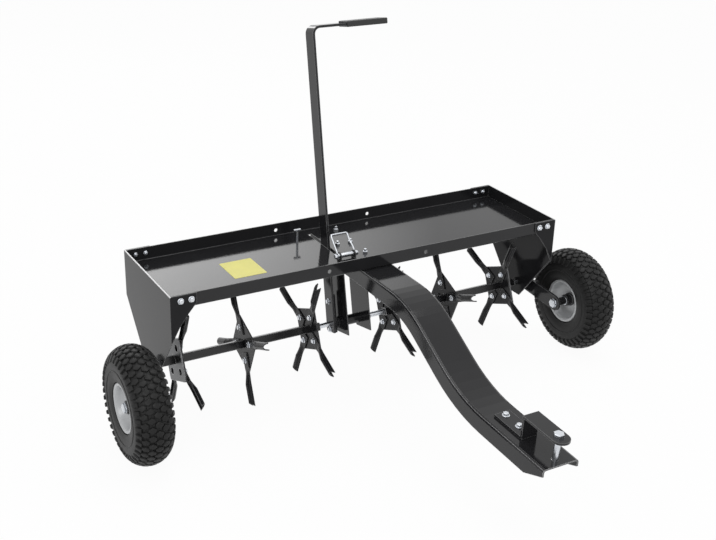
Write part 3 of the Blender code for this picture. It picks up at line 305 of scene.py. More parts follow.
class Finish:
    """A material under construction, with one Principled shader."""

    def __init__(self, name):
        self.material = bpy.data.materials.new(name)
        self.material.use_nodes = True
        self.tree = self.material.node_tree
        self.shader = self.tree.nodes["Principled BSDF"]

    def node(self, kind, settings=None, sockets=None, output=0):
        return node(self.tree, kind, settings, sockets, output)

    def place(self):
        return self.node("ShaderNodeTexCoord", output="Object")

    def noise(self, scale, detail=3.0, roughness=0.5):
        return self.node("ShaderNodeTexNoise", None,
                         {"Vector": self.place(), "Scale": scale, "Detail": detail,
                          "Roughness": roughness}, "Fac")

    def blend(self, factor, first, second):
        """Mix of two colours, each a triple or a colour Value."""
        return self.node("ShaderNodeMix", {"data_type": "RGBA"},
                         {MIX_FACTOR: factor, MIX_FIRST: first, MIX_SECOND: second}, MIX_COLOUR)

    def edges(self, radius, low, high):
        """1 along sharp edges, 0 on the flats."""
        rounded = self.node("ShaderNodeBevel", {"samples": 4}, {"Radius": radius})
        flat = self.node("ShaderNodeNewGeometry", output="Normal")
        alike = self.node("ShaderNodeVectorMath", {"operation": "DOT_PRODUCT"},
                          {0: rounded, 1: flat}, "Value")
        return self.node("ShaderNodeMapRange", None,
                         {"Value": 1 - alike, "From Min": low, "From Max": high})

    def set(self, **sockets):
        """Give the shader its values or links; underscores stand for spaces."""
        fill(self.tree, self.shader, {name.replace("_", " "): content
                                      for name, content in sockets.items()})
        return self

    def relief(self, height, distance, strength=1.0, rounding=None):
        """Bump from a height, over edges rounded by the given radius."""
        sockets = {"Height": height, "Distance": distance, "Strength": strength}
        if rounding:
            sockets["Normal"] = self.node("ShaderNodeBevel", {"samples": 4}, {"Radius": rounding})
        return self.set(Normal=self.node("ShaderNodeBump", None, sockets))


def make_powder_coat(name, colour, roughness, shine=0.5, edge_highlight=0.25, top_edge_highlight=None):
    """Black powder coat with a fine orange peel, and a painted highlight along its edges.

    Its top edges get a painted highlight above a height and outside a reach, where these two are
    given.
    """
    finish = Finish(name)
    cloud = finish.noise(9.0, 4.0, 0.55)
    fine = finish.noise(900.0, 2.0)
    # Painted highlight: sharp edges are lightened towards pale grey, standing in for light caught by
    # rounded edges
    bright = finish.edges(0.0022, 0.03, 0.14) * (edge_highlight * (0.6 + 0.6 * cloud))
    # Painted highlight: top edges above the height and outside the reach are lightened nearly to
    # white
    if top_edge_highlight:
        above, outside = top_edge_highlight
        height = finish.node("ShaderNodeSeparateXYZ", None, {"Vector": finish.place()}, "Z")
        across = finish.node("ShaderNodeSeparateXYZ", None, {"Vector": finish.place()}, "X")
        bright = bright + 0.8 * (height > above) * (across * across > outside ** 2)
    lighter = tuple(channel * 1.6 + 0.002 for channel in colour)
    body = finish.blend(cloud, colour, lighter)
    finish.set(Base_Color=finish.blend(bright, body, PAINTED_EDGE_GREY),
               Roughness=roughness + 0.06 * cloud, IOR=1.38, Specular_IOR_Level=shine)
    finish.relief(fine + 3.0 * finish.noise(160.0, 1.0), 0.00005, 0.25, 0.0007)
    return finish.material


def make_zinc(name, colour, roughness=0.20):
    """Bright zinc plating with a faint cloudy passivation."""
    finish = Finish(name)
    cloud = finish.noise(60.0, 4.0, 0.6)
    grain = finish.noise(1400.0, 2.0)
    cool = (colour[0] * 0.86, colour[1] * 0.90, colour[2] * 0.97)
    finish.set(Base_Color=finish.blend(cloud, colour, cool), Metallic=1.0,
               Roughness=roughness + 0.14 * cloud)
    finish.relief(grain, 0.00003, 0.4, 0.0004)
    return finish.material


def make_rubber(name, colour):
    """Tyre rubber: dull, in a cloudy tone, with a painted highlight that greys the edges of the
    knobs.
    """
    finish = Finish(name)
    cloud = finish.noise(35.0, 5.0, 0.6)
    grain = finish.noise(1100.0, 3.0, 0.6)
    # Painted highlight: edges are lightened to seven times the rubber's colour
    edge = finish.edges(0.0010, 0.03, 0.30)
    dusty = tuple(channel * 1.8 + 0.003 for channel in colour)
    body = finish.blend(cloud, colour, dusty)
    finish.set(Base_Color=finish.blend(edge * 0.5, body, tuple(channel * 7.0 for channel in colour)),
               Roughness=0.38 + 0.18 * cloud, Specular_IOR_Level=0.25)
    finish.relief(grain, 0.00012, 0.5, 0.0006)
    return finish.material


def make_rim_paint(name, colour):
    """Smooth grey rim paint with a fine metal flake."""
    finish = Finish(name)
    flake = finish.node("ShaderNodeTexVoronoi", None,
                        {"Vector": finish.place(), "Scale": 1500.0}, "Color")
    grey_flake = finish.node("ShaderNodeSeparateColor", None, {"Color": flake})
    cloud = finish.noise(25.0, 3.0)
    dark = tuple(channel * 0.88 for channel in colour)
    bright = tuple(channel * 1.12 for channel in colour)
    body = finish.blend(grey_flake, dark, bright)
    finish.set(Base_Color=finish.blend(cloud * 0.3, body, dark), Metallic=0.30,
               Roughness=0.34 + 0.10 * cloud)
    finish.relief(grey_flake, 0.00002, 0.2, 0.0006)
    return finish.material


def make_vinyl(name):
    """Soft black vinyl of the hand grip, with a fine moulded grain."""
    finish = Finish(name)
    cells = finish.node("ShaderNodeTexVoronoi", {"feature": "DISTANCE_TO_EDGE"},
                        {"Vector": finish.place(), "Scale": 700.0}, "Distance")
    cloud = finish.noise(20.0, 3.0)
    finish.set(Base_Color=finish.blend(cloud, (0.009, 0.009, 0.009), (0.017, 0.017, 0.018)),
               Roughness=0.34 + 0.12 * cloud)
    finish.relief(cells, 0.00020, 0.4)
    return finish.material


def make_label_film(name, colour):
    """Plain matt film, a little faded in places."""
    finish = Finish(name)
    fade = finish.noise(30.0, 4.0)
    pale = tuple(min(channel * 1.22 + 0.015, 1.0) for channel in colour)
    finish.set(Base_Color=finish.blend(fade, colour, pale), Roughness=0.34 + 0.1 * fade)
    finish.relief(finish.noise(260.0, 2.0), 0.00004, 0.4)
    return finish.material


def make_floor_finish():
    """Pale floor that shows white to the camera and keeps a soft shadow."""
    finish = Finish("pale_floor")
    grain = finish.noise(8.0, 2.0)
    finish.set(Base_Color=finish.blend(grain, (0.86, 0.86, 0.86), (0.90, 0.90, 0.90)),
               Roughness=0.9, Specular_IOR_Level=0.0)
    shaded = Value(finish.tree, finish.shader.outputs["BSDF"])
    glow = finish.node("ShaderNodeEmission", None, {"Color": (1.0, 1.0, 1.0), "Strength": 1.0})
    both = finish.node("ShaderNodeMixShader", None,
                       {0: FLOOR_GLOW * seen_or_mirrored(finish.tree), 1: shaded, 2: glow})
    fill(finish.tree, finish.tree.nodes["Material Output"], {"Surface": both})
    return finish.material


def seen_or_mirrored(tree):
    """1 for rays from the camera, from a mirror or through glass, 0 for the rest."""
    rays = [node(tree, "ShaderNodeLightPath", output=f"Is {kind} Ray")
            for kind in ("Camera", "Glossy", "Transmission")]
    return (rays[0] + rays[1] + rays[2]) > 0.5


# Mesh helpers


def publish(name, shape, finish, body, replaced=(), smooth=35.0):
    """Turn a bmesh into a shown piece that rides on a body."""
    bmesh.ops.recalc_face_normals(shape, faces=shape.faces)
    mesh = bpy.data.meshes.new(name)
    shape.to_mesh(mesh)
    shape.free()
    mesh.shade_smooth()
    mesh.set_sharp_from_angle(angle=math.radians(smooth))
    mesh.materials.append(FINISHES[finish])
    piece = bpy.data.objects.new(name, mesh)
    bpy.context.scene.collection.objects.link(piece)
    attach(piece, body)
    if replaced:
        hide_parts(*replaced)
    return piece


def aim(place, direction):
    """Frame at a place whose Z points in a direction."""
    turn = Vector(direction).to_track_quat("Z", "Y").to_matrix().to_4x4()
    return Matrix.Translation(place) @ turn


def ring_points(shape, matrix, radius, height, steps):
    """A ring of points round the Z of a frame."""
    angles = [math.tau * step / steps for step in range(steps)]
    return [shape.verts.new(matrix @ Vector((radius * math.cos(angle), radius * math.sin(angle),
                                             height))) for angle in angles]


def skin(shape, rings):
    """Faces between rings of equal length."""
    for near, far in zip(rings, rings[1:]):
        count = len(near)
        for index in range(count):
            after = (index + 1) % count
            shape.faces.new((near[index], near[after], far[after], far[index]))


def close_ends(shape, rings):
    """Flat faces over the first and the last ring."""
    shape.faces.new(list(reversed(rings[0])))
    shape.faces.new(rings[-1])


def add_turned(shape, matrix, profile, steps=32):
    """A turned solid from (radius, height) points, with flat ends."""
    rings = [ring_points(shape, matrix, radius, height, steps) for radius, height in profile]
    skin(shape, rings)
    close_ends(shape, rings)


def add_loop(shape, matrix, profile, steps=64):
    """A turned ring whose (radius, height) outline closes on itself."""
    rings = [ring_points(shape, matrix, radius, height, steps) for radius, height in profile]
    skin(shape, rings + rings[:1])


def add_hex(shape, matrix, across, height, base=0.0):
    """A hexagonal head or nut with chamfered corners on its top."""
    corner = across / math.sqrt(3)
    add_turned(shape, matrix, [(corner, base), (corner, base + height * 0.82),
                               (corner * 0.88, base + height)], 6)


def add_bolt(shape, place, direction, across, washer=True, stud=0.0):
    """A flange bolt head, or a nut with its stud showing, standing on a surface."""
    matrix = aim(place, direction)
    base = 0.0
    if washer:
        add_turned(shape, matrix, [(across * 0.72, 0.0), (across * 0.72, across * 0.07),
                                   (across * 0.65, across * 0.13)], 20)
        base = across * 0.12
    height = across * 0.42
    add_hex(shape, matrix, across, height, base)
    top = base + height
    if stud:
        add_turned(shape, matrix, [(across * 0.29, top - 0.0005), (across * 0.29, top + stud),
                                   (across * 0.22, top + stud + across * 0.06)], 16)
    else:
        add_turned(shape, matrix, [(across * 0.36, top - 0.0002), (across * 0.34, top + 0.0002)], 20)


def add_tube(shape, points, radius, steps=10):
    """A round wire through points, with flat ends."""
    rings = []
    side = Z_AXIS
    last = len(points) - 1
    for index, point in enumerate(points):
        along = (points[min(index + 1, last)] - points[max(index - 1, 0)]).normalized()
        if abs(along.dot(side)) > 0.95:
            side = X_AXIS
        across = along.cross(side).normalized()
        side = across.cross(along).normalized()
        rings.append([shape.verts.new(point + radius * (across * math.cos(angle)
                                                        + side * math.sin(angle)))
                      for angle in (math.tau * step / steps for step in range(steps))])
    skin(shape, rings)
    close_ends(shape, rings)


def rounded_path(corners, radius, steps=5):
    """Corner points joined by straight runs and arcs."""
    path = [corners[0]]
    for before, corner, after in zip(corners, corners[1:], corners[2:]):
        start = corner + (before - corner).normalized() * radius
        end = corner + (after - corner).normalized() * radius
        for step in range(steps + 1):
            share = step / steps
            path.append(start * (1 - share) ** 2 + corner * 2 * share * (1 - share)
                        + end * share ** 2)
    path.append(corners[-1])
    return path


# Operators, one for each piece or group of like pieces


class AERATOR_OT_finishes(bpy.types.Operator):
    """Make the finishes and give every CAD piece its own"""

    bl_idname = "aerator.finishes"
    bl_label = "Finishes"

    def execute(self, context):
        colours = context.scene.aerator_finish
        coat = tuple(colours.coat)
        gloss = colours.coat_gloss
        FINISHES["coat"] = make_powder_coat("black_powder_coat", coat, gloss)
        FINISHES["plate_coat"] = make_powder_coat("black_coat_on_end_plates", coat, gloss + 0.04,
                                                  shine=0.2, top_edge_highlight=PAINTED_TOP_EDGE_HIGHLIGHT)
        # The drawbar gets a stronger painted edge highlight along its folds
        FINISHES["drawbar_coat"] = make_powder_coat("black_coat_on_drawbar", coat, gloss, edge_highlight=0.8)
        FINISHES["tine_coat"] = make_powder_coat("black_coat_on_spoons", coat, gloss + 0.12,
                                                 shine=0.2, edge_highlight=0.3)
        FINISHES["zinc"] = make_zinc("bright_zinc", tuple(colours.zinc))
        FINISHES["spool"] = self.make_spool_finish(coat)
        FINISHES["rubber"] = make_rubber("tyre_rubber", tuple(colours.rubber))
        FINISHES["rim"] = make_rim_paint("grey_rim_paint", tuple(colours.rim))
        FINISHES["vinyl"] = make_vinyl("grip_vinyl")
        FINISHES["label"] = make_label_film("label_film", tuple(colours.label))
        by_name = {"lift_shaft": "zinc", "hitch_pin": "zinc", "lock_pin": "zinc",
                   "latch_pin": "zinc", "latch_bail": "zinc",
                   "handle_grip": "vinyl", "drawbar": "drawbar_coat"}
        by_start = {"wheel_axle": "zinc", "spool_tube": "spool", "tyre": "rubber", "rim": "rim",
                    "spoon": "tine_coat", "star_plate": "tine_coat", "end_plate": "plate_coat"}
        for name, item in frame["nodes"].items():
            finish = by_name.get(name, "coat")
            for start, other in by_start.items():
                if name.startswith(start):
                    finish = other
            item.data.materials.clear()
            item.data.materials.append(FINISHES[finish])
            item.data.shade_smooth()
            item.data.set_sharp_from_angle(angle=math.radians(38))
        return {"FINISHED"}

    def make_spool_finish(self, coat):
        """Black coat on the square tube, dull zinc on the plate at its end, and a painted highlight
        along their edges.
        """
        finish = Finish("spool_tube_and_end_plate")
        moved = finish.node("ShaderNodeVectorMath", {"operation": "SUBTRACT"},
                            {0: finish.place(), 1: tuple(AXLE)})
        square_to_axle = finish.node("ShaderNodeVectorMath", {"operation": "MULTIPLY"},
                                     {0: moved, 1: (0.0, 1.0, 1.0)})
        reach = finish.node("ShaderNodeVectorMath", {"operation": "LENGTH"}, {0: square_to_axle},
                            "Value")
        plate = reach > PLATE_STARTS_AT
        cloud = finish.noise(45.0, 5.0, 0.6)
        # Painted highlight: edges of the tube and the plate are lightened towards pale grey
        edge = finish.edges(0.0024, 0.03, 0.14)
        grey = finish.blend(cloud, (0.07, 0.072, 0.075), (0.16, 0.163, 0.166))
        body = finish.blend(plate, coat, grey)
        finish.set(Base_Color=finish.blend(edge * 0.8, body, (0.75, 0.75, 0.76)),
                   Metallic=plate * 0.9, Roughness=0.16 + 0.10 * cloud + 0.18 * plate)
        finish.relief(finish.noise(600.0, 3.0), 0.00006, 0.4, 0.0012)
        return finish.material


class AERATOR_OT_tyres(bpy.types.Operator):
    """Knobbly tyres with ribbed sidewalls"""

    bl_idname = "aerator.tyres"
    bl_label = "Tyres"

    def execute(self, context):
        settings = context.scene.aerator_tyre
        rim = context.scene.aerator_rim
        for side, label in SIDES.items():
            shape = bmesh.new()
            matrix = Matrix.Translation(WHEEL_PLACES[side]) @ Matrix.Rotation(math.pi / 2, 4, "Y")
            add_loop(shape, matrix, self.carcass(settings, rim), 120)
            self.add_tread(shape, matrix, settings)
            publish(f"tyre_{label}_tread", shape, "rubber", f"wheel_{label}",
                    [f"tyre_{label}"], smooth=40)
        return {"FINISHED"}

    def wall(self, settings, turn):
        """Point of the carcass at a turn from the middle of the tread."""
        top = settings.radius - settings.knob_height
        wide_at = settings.radius * 0.69
        return (wide_at + (top - wide_at) * math.cos(turn),
                (settings.half_width - 0.0030) * math.sin(turn))

    def carcass(self, settings, rim):
        """Closed outline of the carcass, with one thin ring on each side."""
        half = [self.wall(settings, math.radians(100) * step / 14) for step in range(15)]
        radius, across = half[-1]
        seat = rim.radius - 0.003
        lip = rim.half_width
        # Share of the way down the wall, and how far the thin rings stand out there
        for share, rise in ((0.05, 0.0), (0.08, 0.0011), (0.12, 0.0011), (0.15, 0.0),
                            (0.40, 0.0003), (0.66, 0.0003), (0.80, 0.0)):
            down = radius + (rim.radius + 0.004 - radius) * share
            out = across + (lip + 0.002 - across) * share ** 2
            half.append((down, out + rise))
        half.append((rim.radius + 0.0014, lip + 0.0008))
        half.append((rim.radius + 0.0006, lip - 0.0042))
        half.append((seat, lip - 0.0052))
        half.append((seat, lip - 0.0122))
        half.append((seat + 0.010, lip - 0.0132))
        half.append((seat + 0.034, settings.half_width - 0.012))
        half.append((settings.radius - 0.016, 0.012))
        mirrored = [(radius, -across) for radius, across in reversed(half)]
        return half + mirrored[:-1]

    def add_tread(self, shape, matrix, settings):
        """Rows of diamond knobs, with square lugs on the shoulders."""
        pitch = math.tau / settings.knobs_round
        row_turn = math.radians(19.5)
        diamond = [(-0.38, -0.06), (-0.14, -0.54), (0.14, -0.54), (0.38, 0.06), (0.14, 0.54),
                   (-0.14, 0.54)]
        lug = [(-0.27, -0.44), (0.27, -0.44), (0.29, 0.10), (0.25, 0.78), (-0.25, 0.78),
               (-0.29, 0.10)]
        for row in range(-3, 4):
            outline = diamond if abs(row) < 3 else lug
            flip = -1 if row < 0 else 1
            for number in range(settings.knobs_round):
                angle = pitch * (number + (row % 2) / 2)
                self.add_knob(shape, matrix, settings, outline, angle, row * row_turn,
                              pitch, row_turn * flip)

    def add_knob(self, shape, matrix, settings, outline, angle, turn, pitch, row_turn):
        """One knob: a tapered block with a chamfered top that follows the carcass."""
        rings = []
        for shrink, lift in ((1.16, -0.0012), (1.0, settings.knob_height * 0.78),
                             (0.80, settings.knob_height)):
            ring = []
            for along, across in outline:
                here = turn + across * row_turn * shrink
                radius, place = self.wall(settings, here)
                reach = radius + lift * math.cos(here)
                spin = angle + along * pitch * shrink
                ring.append(shape.verts.new(matrix @ Vector((reach * math.cos(spin),
                                                             reach * math.sin(spin),
                                                             place + lift * math.sin(here)))))
            rings.append(ring)
        skin(shape, rings)
        close_ends(shape, rings)


class AERATOR_OT_rims(bpy.types.Operator):
    """Dished rims with hub, bearing and valve"""

    bl_idname = "aerator.rims"
    bl_label = "Rims"

    def execute(self, context):
        settings = context.scene.aerator_rim
        for side, label in SIDES.items():
            matrix = aim(WHEEL_PLACES[side], X_AXIS * side)
            shape = bmesh.new()
            add_loop(shape, matrix, self.dish(settings), 72)
            publish(f"rim_{label}_dish", shape, "rim", f"wheel_{label}",
                    [f"rim_{label}"], smooth=30)
            shape = bmesh.new()
            for face in (-1, 1):
                add_loop(shape, matrix, self.hub(settings, face), 40)
            publish(f"hub_{label}", shape, "coat", f"wheel_{label}")
            shape = bmesh.new()
            out, back, up = VALVE_FROM_HUB
            stem = WHEEL_PLACES[side] + Vector((side * out, back, up))
            add_turned(shape, aim(stem, X_AXIS * side),
                       [(0.0046, 0.0), (0.0046, 0.004), (0.0036, 0.007), (0.0036, 0.017),
                        (0.0031, 0.0185)], 16)
            publish(f"valve_{label}", shape, "vinyl", f"wheel_{label}")
        return {"FINISHED"}

    def dish(self, settings):
        """Outline of a smooth bowl with a rolled lip, the same on both faces."""
        radius = settings.radius
        edge = settings.half_width
        inner = [(0.0115, 0.0080), (0.020, 0.0082), (0.028, 0.0090), (0.0345, 0.0112),
                 (0.0395, 0.0150), (0.0430, 0.0205), (0.0452, 0.0265), (0.0470, edge - 0.0040),
                 (0.0492, edge - 0.0012), (0.0518, edge - 0.0002), (0.0543, edge - 0.0002),
                 (radius - 0.0003, edge - 0.0016), (radius, edge - 0.0032),
                 (radius - 0.0020, edge - 0.0046)]
        outer = [(radius - 0.0045, edge - 0.0060), (radius - 0.0052, edge - 0.0120),
                 (radius - 0.0100, 0.0095)]
        half = inner + outer
        return half + [(reach, -height) for reach, height in reversed(half)]

    def hub(self, settings, face):
        """Outline of the hub on one face of the rim."""
        top = settings.half_width - HUB_BELOW_LIP
        half = [(0.0082, 0.0040), (0.0170, 0.0040), (0.0170, 0.0125), (0.0150, 0.0140),
                (0.0150, top - 0.003), (0.0142, top - 0.0012), (0.0142, top - 0.0004),
                (0.0136, top), (0.0082, top)]
        return [(reach, face * height) for reach, height in half]


class AERATOR_OT_axles(bpy.types.Operator):
    """Wheel bolts with hexagon heads, spacers and nuts, and the shaft with its nuts"""

    bl_idname = "aerator.axles"
    bl_label = "Wheel bolts and shaft"

    def execute(self, context):
        across = context.scene.aerator_fastener.large
        reach = context.scene.aerator_rim.half_width - HUB_BELOW_LIP
        for side, label in SIDES.items():
            inner, outer = self.reaches(f"wheel_axle_{label}")
            length = outer - inner
            centre = WHEEL_PLACES[side]
            start = Vector((side * inner, centre.y, centre.z))
            arm = self.reaches(f"wheel_arm_{label}")[1] - inner
            near = abs(centre.x) - reach - inner
            far = abs(centre.x) + reach - inner
            matrix = aim(start, X_AXIS * side)
            head = WHEEL_BOLT_HEAD_HEIGHT
            nut = far + 0.0015
            shape = bmesh.new()
            add_hex(shape, aim(start + X_AXIS * side * (head + CLEARANCE), -X_AXIS * side),
                    across, head)
            add_turned(shape, matrix, [(WHEEL_BOLT_RADIUS, head),
                                       (WHEEL_BOLT_RADIUS, length - 0.0012),
                                       (WHEEL_BOLT_RADIUS - 0.0010, length - CLEARANCE)])
            # Three washers: under the head, and on both sides of the hub
            add_turned(shape, matrix, [(HEAD_WASHER_RADIUS, head - CLEARANCE),
                                       (HEAD_WASHER_RADIUS, head + 0.0011)])
            add_turned(shape, matrix, [(WASHER_RADIUS - 0.0004, near - 0.0022),
                                       (WASHER_RADIUS, near - 0.0018),
                                       (WASHER_RADIUS, near - 0.0004)])
            add_turned(shape, matrix, [(WASHER_RADIUS, far + 0.0003), (WASHER_RADIUS, nut)])
            add_hex(shape, matrix, across * 0.95, length - 0.0012 - nut, nut)
            publish(f"wheel_bolt_{label}", shape, "zinc", "lift",
                    [f"wheel_axle_{label}"])
            shape = bmesh.new()
            add_turned(shape, matrix, [(SPACER_RADIUS - 0.0004, arm + 0.0003),
                                       (SPACER_RADIUS, arm + 0.0008),
                                       (SPACER_RADIUS, near - 0.0028),
                                       (SPACER_RADIUS - 0.0004, near - 0.0023)])
            publish(f"wheel_spacer_{label}", shape, "coat", "lift")
        self.add_shaft()
        return {"FINISHED"}

    def reaches(self, node_name):
        """Distances of a node's two ends from the machine's middle plane."""
        return sorted(abs(corner.x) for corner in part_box(node_name))

    def add_shaft(self):
        """Round shaft with a nut on each end."""
        low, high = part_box("lift_shaft")
        shape = bmesh.new()
        matrix = aim(Vector((low.x, AXLE.y, AXLE.z)), X_AXIS)
        length = high.x - low.x
        chamfer = SHAFT_RADIUS - 0.00115
        add_turned(shape, matrix, [(chamfer, CLEARANCE), (SHAFT_RADIUS, 0.0012),
                                   (SHAFT_RADIUS, length - 0.0012),
                                   (chamfer, length - CLEARANCE)])
        inset = SHAFT_NUT_HEIGHT + 0.0010
        for place, direction in ((low.x + inset, -X_AXIS), (high.x - inset, X_AXIS)):
            add_hex(shape, aim(Vector((place, AXLE.y, AXLE.z)), direction), SHAFT_NUT,
                    SHAFT_NUT_HEIGHT)
        publish("shaft_and_nuts", shape, "zinc", "lift", ["lift_shaft"])


class AERATOR_OT_spoon_bolts(bpy.types.Operator):
    """A bolt and a nut at the root of every spoon"""

    bl_idname = "aerator.spoon_bolts"
    bl_label = "Spoon bolts"

    def execute(self, context):
        across = context.scene.aerator_fastener.small
        for label, stars in (("left", (1, 2, 3)), ("right", (4, 5, 6))):
            shape = bmesh.new()
            for star in stars:
                face = 1 if star == 1 else -1
                plate_x = box_middle(f"star_plate_{star}").x
                spoon_face = plate_x + face * SPOON_OUTER_FACE
                back = plate_x - face * STAR_PLATE_HALF
                for letter in "abcd":
                    direction = box_middle(f"spoon_{star}{letter}") - AXLE
                    direction.x = 0
                    root = AXLE + direction.normalized() * SPOON_BOLT_RADIUS
                    add_bolt(shape, Vector((spoon_face, root.y, root.z)), X_AXIS * face, across)
                    if star not in (1, 6):
                        add_bolt(shape, Vector((back, root.y, root.z)), -X_AXIS * face, across,
                                 washer=False, stud=0.003)
            publish(f"spoon_bolts_{label}", shape, "zinc", f"spool_{label}")
        return {"FINISHED"}


class AERATOR_OT_tray_bolts(bpy.types.Operator):
    """Bolts through the end flanges, the tray floor, the hangers and the drawbar"""

    bl_idname = "aerator.tray_bolts"
    bl_label = "Tray bolts"

    def execute(self, context):
        across = context.scene.aerator_fastener.small
        shape = bmesh.new()
        for side in SIDES:
            for reach in FLANGE_BOLT_REACHES:
                place = Vector((side * reach, END_LOW.y, FLANGE_BOLT_HEIGHT))
                add_bolt(shape, place, -Y_AXIS, across)
                for wall, away in TRAY_WALLS:
                    place.y = wall
                    add_bolt(shape, place, Y_AXIS * away, across, washer=False, stud=0.003)
        for x, y in FLOOR_BOLTS:
            place = Vector((x, AXLE.y + y, TRAY_FLOOR))
            add_bolt(shape, place, Z_AXIS, across * 1.1, washer=False, stud=0.005)
            place.z = WEB_UNDERSIDE
            add_bolt(shape, place, -Z_AXIS, across, washer=False, stud=0.003)
        publish("tray_bolts", shape, "zinc", "frame")
        return {"FINISHED"}


class AERATOR_OT_tray_folds(bpy.types.Operator):
    """Rounded insides of the folds between the tray's floor and its walls"""

    bl_idname = "aerator.tray_folds"
    bl_label = "Tray folds"

    def execute(self, context):
        turns = [math.pi / 2 * step / FOLD_STEPS for step in range(FOLD_STEPS + 1)]
        shape = bmesh.new()
        for wall, away in TRAY_WALLS:
            outline = [(wall + away * FOLD_RADIUS * (1 - math.sin(turn)),
                        TRAY_FLOOR + FOLD_RADIUS * (1 - math.cos(turn))) for turn in turns]
            outline += [(wall - away * FOLD_SUNK, TRAY_FLOOR + FOLD_RADIUS),
                        (wall - away * FOLD_SUNK, TRAY_FLOOR - FOLD_SUNK),
                        (wall + away * FOLD_RADIUS, TRAY_FLOOR - FOLD_SUNK)]
            rings = [[shape.verts.new((x, y, z)) for y, z in outline]
                     for x in (TRAY_LOW.x + 0.0006, TRAY_HIGH.x - 0.0006)]
            skin(shape, rings)
            close_ends(shape, rings)
        publish("tray_fold_fillets", shape, "coat", "frame", smooth=50)
        return {"FINISHED"}


class AERATOR_OT_handle_bolts(bpy.types.Operator):
    """Bolts that hold the bracket to the handle"""

    bl_idname = "aerator.handle_bolts"
    bl_label = "Handle bolts"

    def execute(self, context):
        across = context.scene.aerator_fastener.small
        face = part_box("handle_bar")[0].x
        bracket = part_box("handle_bracket")[1]
        shape = bmesh.new()
        along = Vector((0, math.sin(HANDLE_LEAN), math.cos(HANDLE_LEAN)))
        for height in (FOOT_BOLT_HEIGHT, BRACKET_BOLT_HEIGHT):
            place = AXLE + along * height
            place.x = face
            add_bolt(shape, place, -X_AXIS, across)
        place.x = bracket.x - BRACKET_COLLAR_LENGTH
        add_bolt(shape, place, X_AXIS, across, washer=False, stud=0.002)
        publish("handle_bolts", shape, "zinc", "lift")
        return {"FINISHED"}


class AERATOR_OT_hitch(bpy.types.Operator):
    """Hitch bolts and the hexagon-headed hitch pin"""

    bl_idname = "aerator.hitch"
    bl_label = "Hitch pin and bolts"

    def execute(self, context):
        across = context.scene.aerator_fastener.small
        slide = next(joint for joint in frame["joints"] if joint["name"] == "hitch_pin_lift")
        up = Vector(slide["axis"]).normalized()
        foot = box_middle("hitch_pin") - up * HITCH_PIN_MIDDLE
        back = up.cross(X_AXIS).normalized()
        if back.y < 0:
            back = -back
        top = (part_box("hitch_pin")[1].z - foot.z) / up.z - 0.0004
        shape = bmesh.new()
        matrix = aim(foot, up)
        add_turned(shape, matrix, [(HITCH_PIN_RADIUS - 0.00115, HITCH_PIN_FOOT),
                                   (HITCH_PIN_RADIUS, HITCH_PIN_FOOT + 0.0014),
                                   (HITCH_PIN_RADIUS, top - 0.006)])
        add_hex(shape, matrix, HITCH_HEAD, HITCH_HEAD_HEIGHT,
                top - HITCH_HEAD_HEIGHT - CLEARANCE)
        publish("hitch_pin_hex", shape, "zinc", "hitch_pin", ["hitch_pin"])
        shape = bmesh.new()
        for reach in HITCH_BOLTS:
            add_bolt(shape, foot + back * reach + up * HITCH_PLATE_TOP, up, across * 1.12)
        publish("hitch_bolts", shape, "zinc", "frame")
        return {"FINISHED"}


class AERATOR_OT_latch(bpy.types.Operator):
    """Round wire bail of the latch, its pin and roller"""

    bl_idname = "aerator.latch"
    bl_label = "Latch"

    def execute(self, context):
        joint = next(item for item in frame["joints"] if item["name"] == "bail_turn")
        centre = Vector(joint["pos_m"])
        low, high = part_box("latch_bail")
        up = Vector((0, math.sin(BAIL_LEAN), math.cos(BAIL_LEAN)))
        left = low.x + BAIL_WIRE + CLEARANCE
        right = high.x - BAIL_WIRE - CLEARANCE
        corners = [Vector((x, centre.y, centre.z)) + up * reach
                   for x, reach in ((left, BAIL_FOOT), (left, BAIL_REACH),
                                    (right - 0.002, BAIL_REACH),
                                    (right - 0.003, BAIL_REACH * 0.62),
                                    (right, BAIL_REACH * 0.40), (right, BAIL_FOOT))]
        shape = bmesh.new()
        add_tube(shape, rounded_path(corners, BAIL_BEND), BAIL_WIRE, 12)
        for x in (left, right):
            matrix = aim(Vector((x - BAIL_WIRE, centre.y, centre.z)), X_AXIS)
            add_loop(shape, matrix, [(0.0040, 0.0), (0.0064, 0.0), (0.0064, 0.0038),
                                     (0.0040, 0.0038)], 28)
        publish("latch_bail_wire", shape, "zinc", "bail", ["latch_bail"])
        self.add_pin(centre)
        return {"FINISHED"}

    def add_pin(self, centre):
        """Latch pin with a roller between the ears, its head and a bolt beside the left ear."""
        low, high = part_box("latch_pin")
        length = high.x - low.x
        middle = length / 2
        matrix = aim(Vector((low.x, centre.y, centre.z)), X_AXIS)
        shape = bmesh.new()
        add_turned(shape, matrix, [(LATCH_PIN_RADIUS - 0.0006, 0.0),
                                   (LATCH_PIN_RADIUS, 0.0006),
                                   (LATCH_PIN_RADIUS, length - 0.0006),
                                   (LATCH_PIN_RADIUS - 0.0006, length)], 24)
        add_turned(shape, matrix, [(ROLLER_RADIUS - 0.0002, middle - ROLLER_HALF),
                                   (ROLLER_RADIUS, middle - ROLLER_HALF + 0.0010),
                                   (ROLLER_RADIUS, middle + ROLLER_HALF - 0.0010),
                                   (ROLLER_RADIUS - 0.0002, middle + ROLLER_HALF)], 28)
        add_hex(shape, aim(matrix @ Vector((0, 0, 0.0012)), -X_AXIS), LATCH_HEAD,
                LATCH_HEAD_HEIGHT)
        ear = Vector((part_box("latch_base")[0].x, centre.y, TRAY_FLOOR + EAR_BOLT_HEIGHT))
        add_bolt(shape, ear, -X_AXIS, EAR_BOLT, washer=False)
        # A collar as wide as the roller closes the pin's right end
        add_turned(shape, matrix, [(ROLLER_RADIUS, length - 0.0026),
                                   (ROLLER_RADIUS, length - 0.0008),
                                   (ROLLER_RADIUS - 0.0008, length - CLEARANCE)], 24)
        publish("latch_roller", shape, "zinc", "frame", ["latch_pin"])


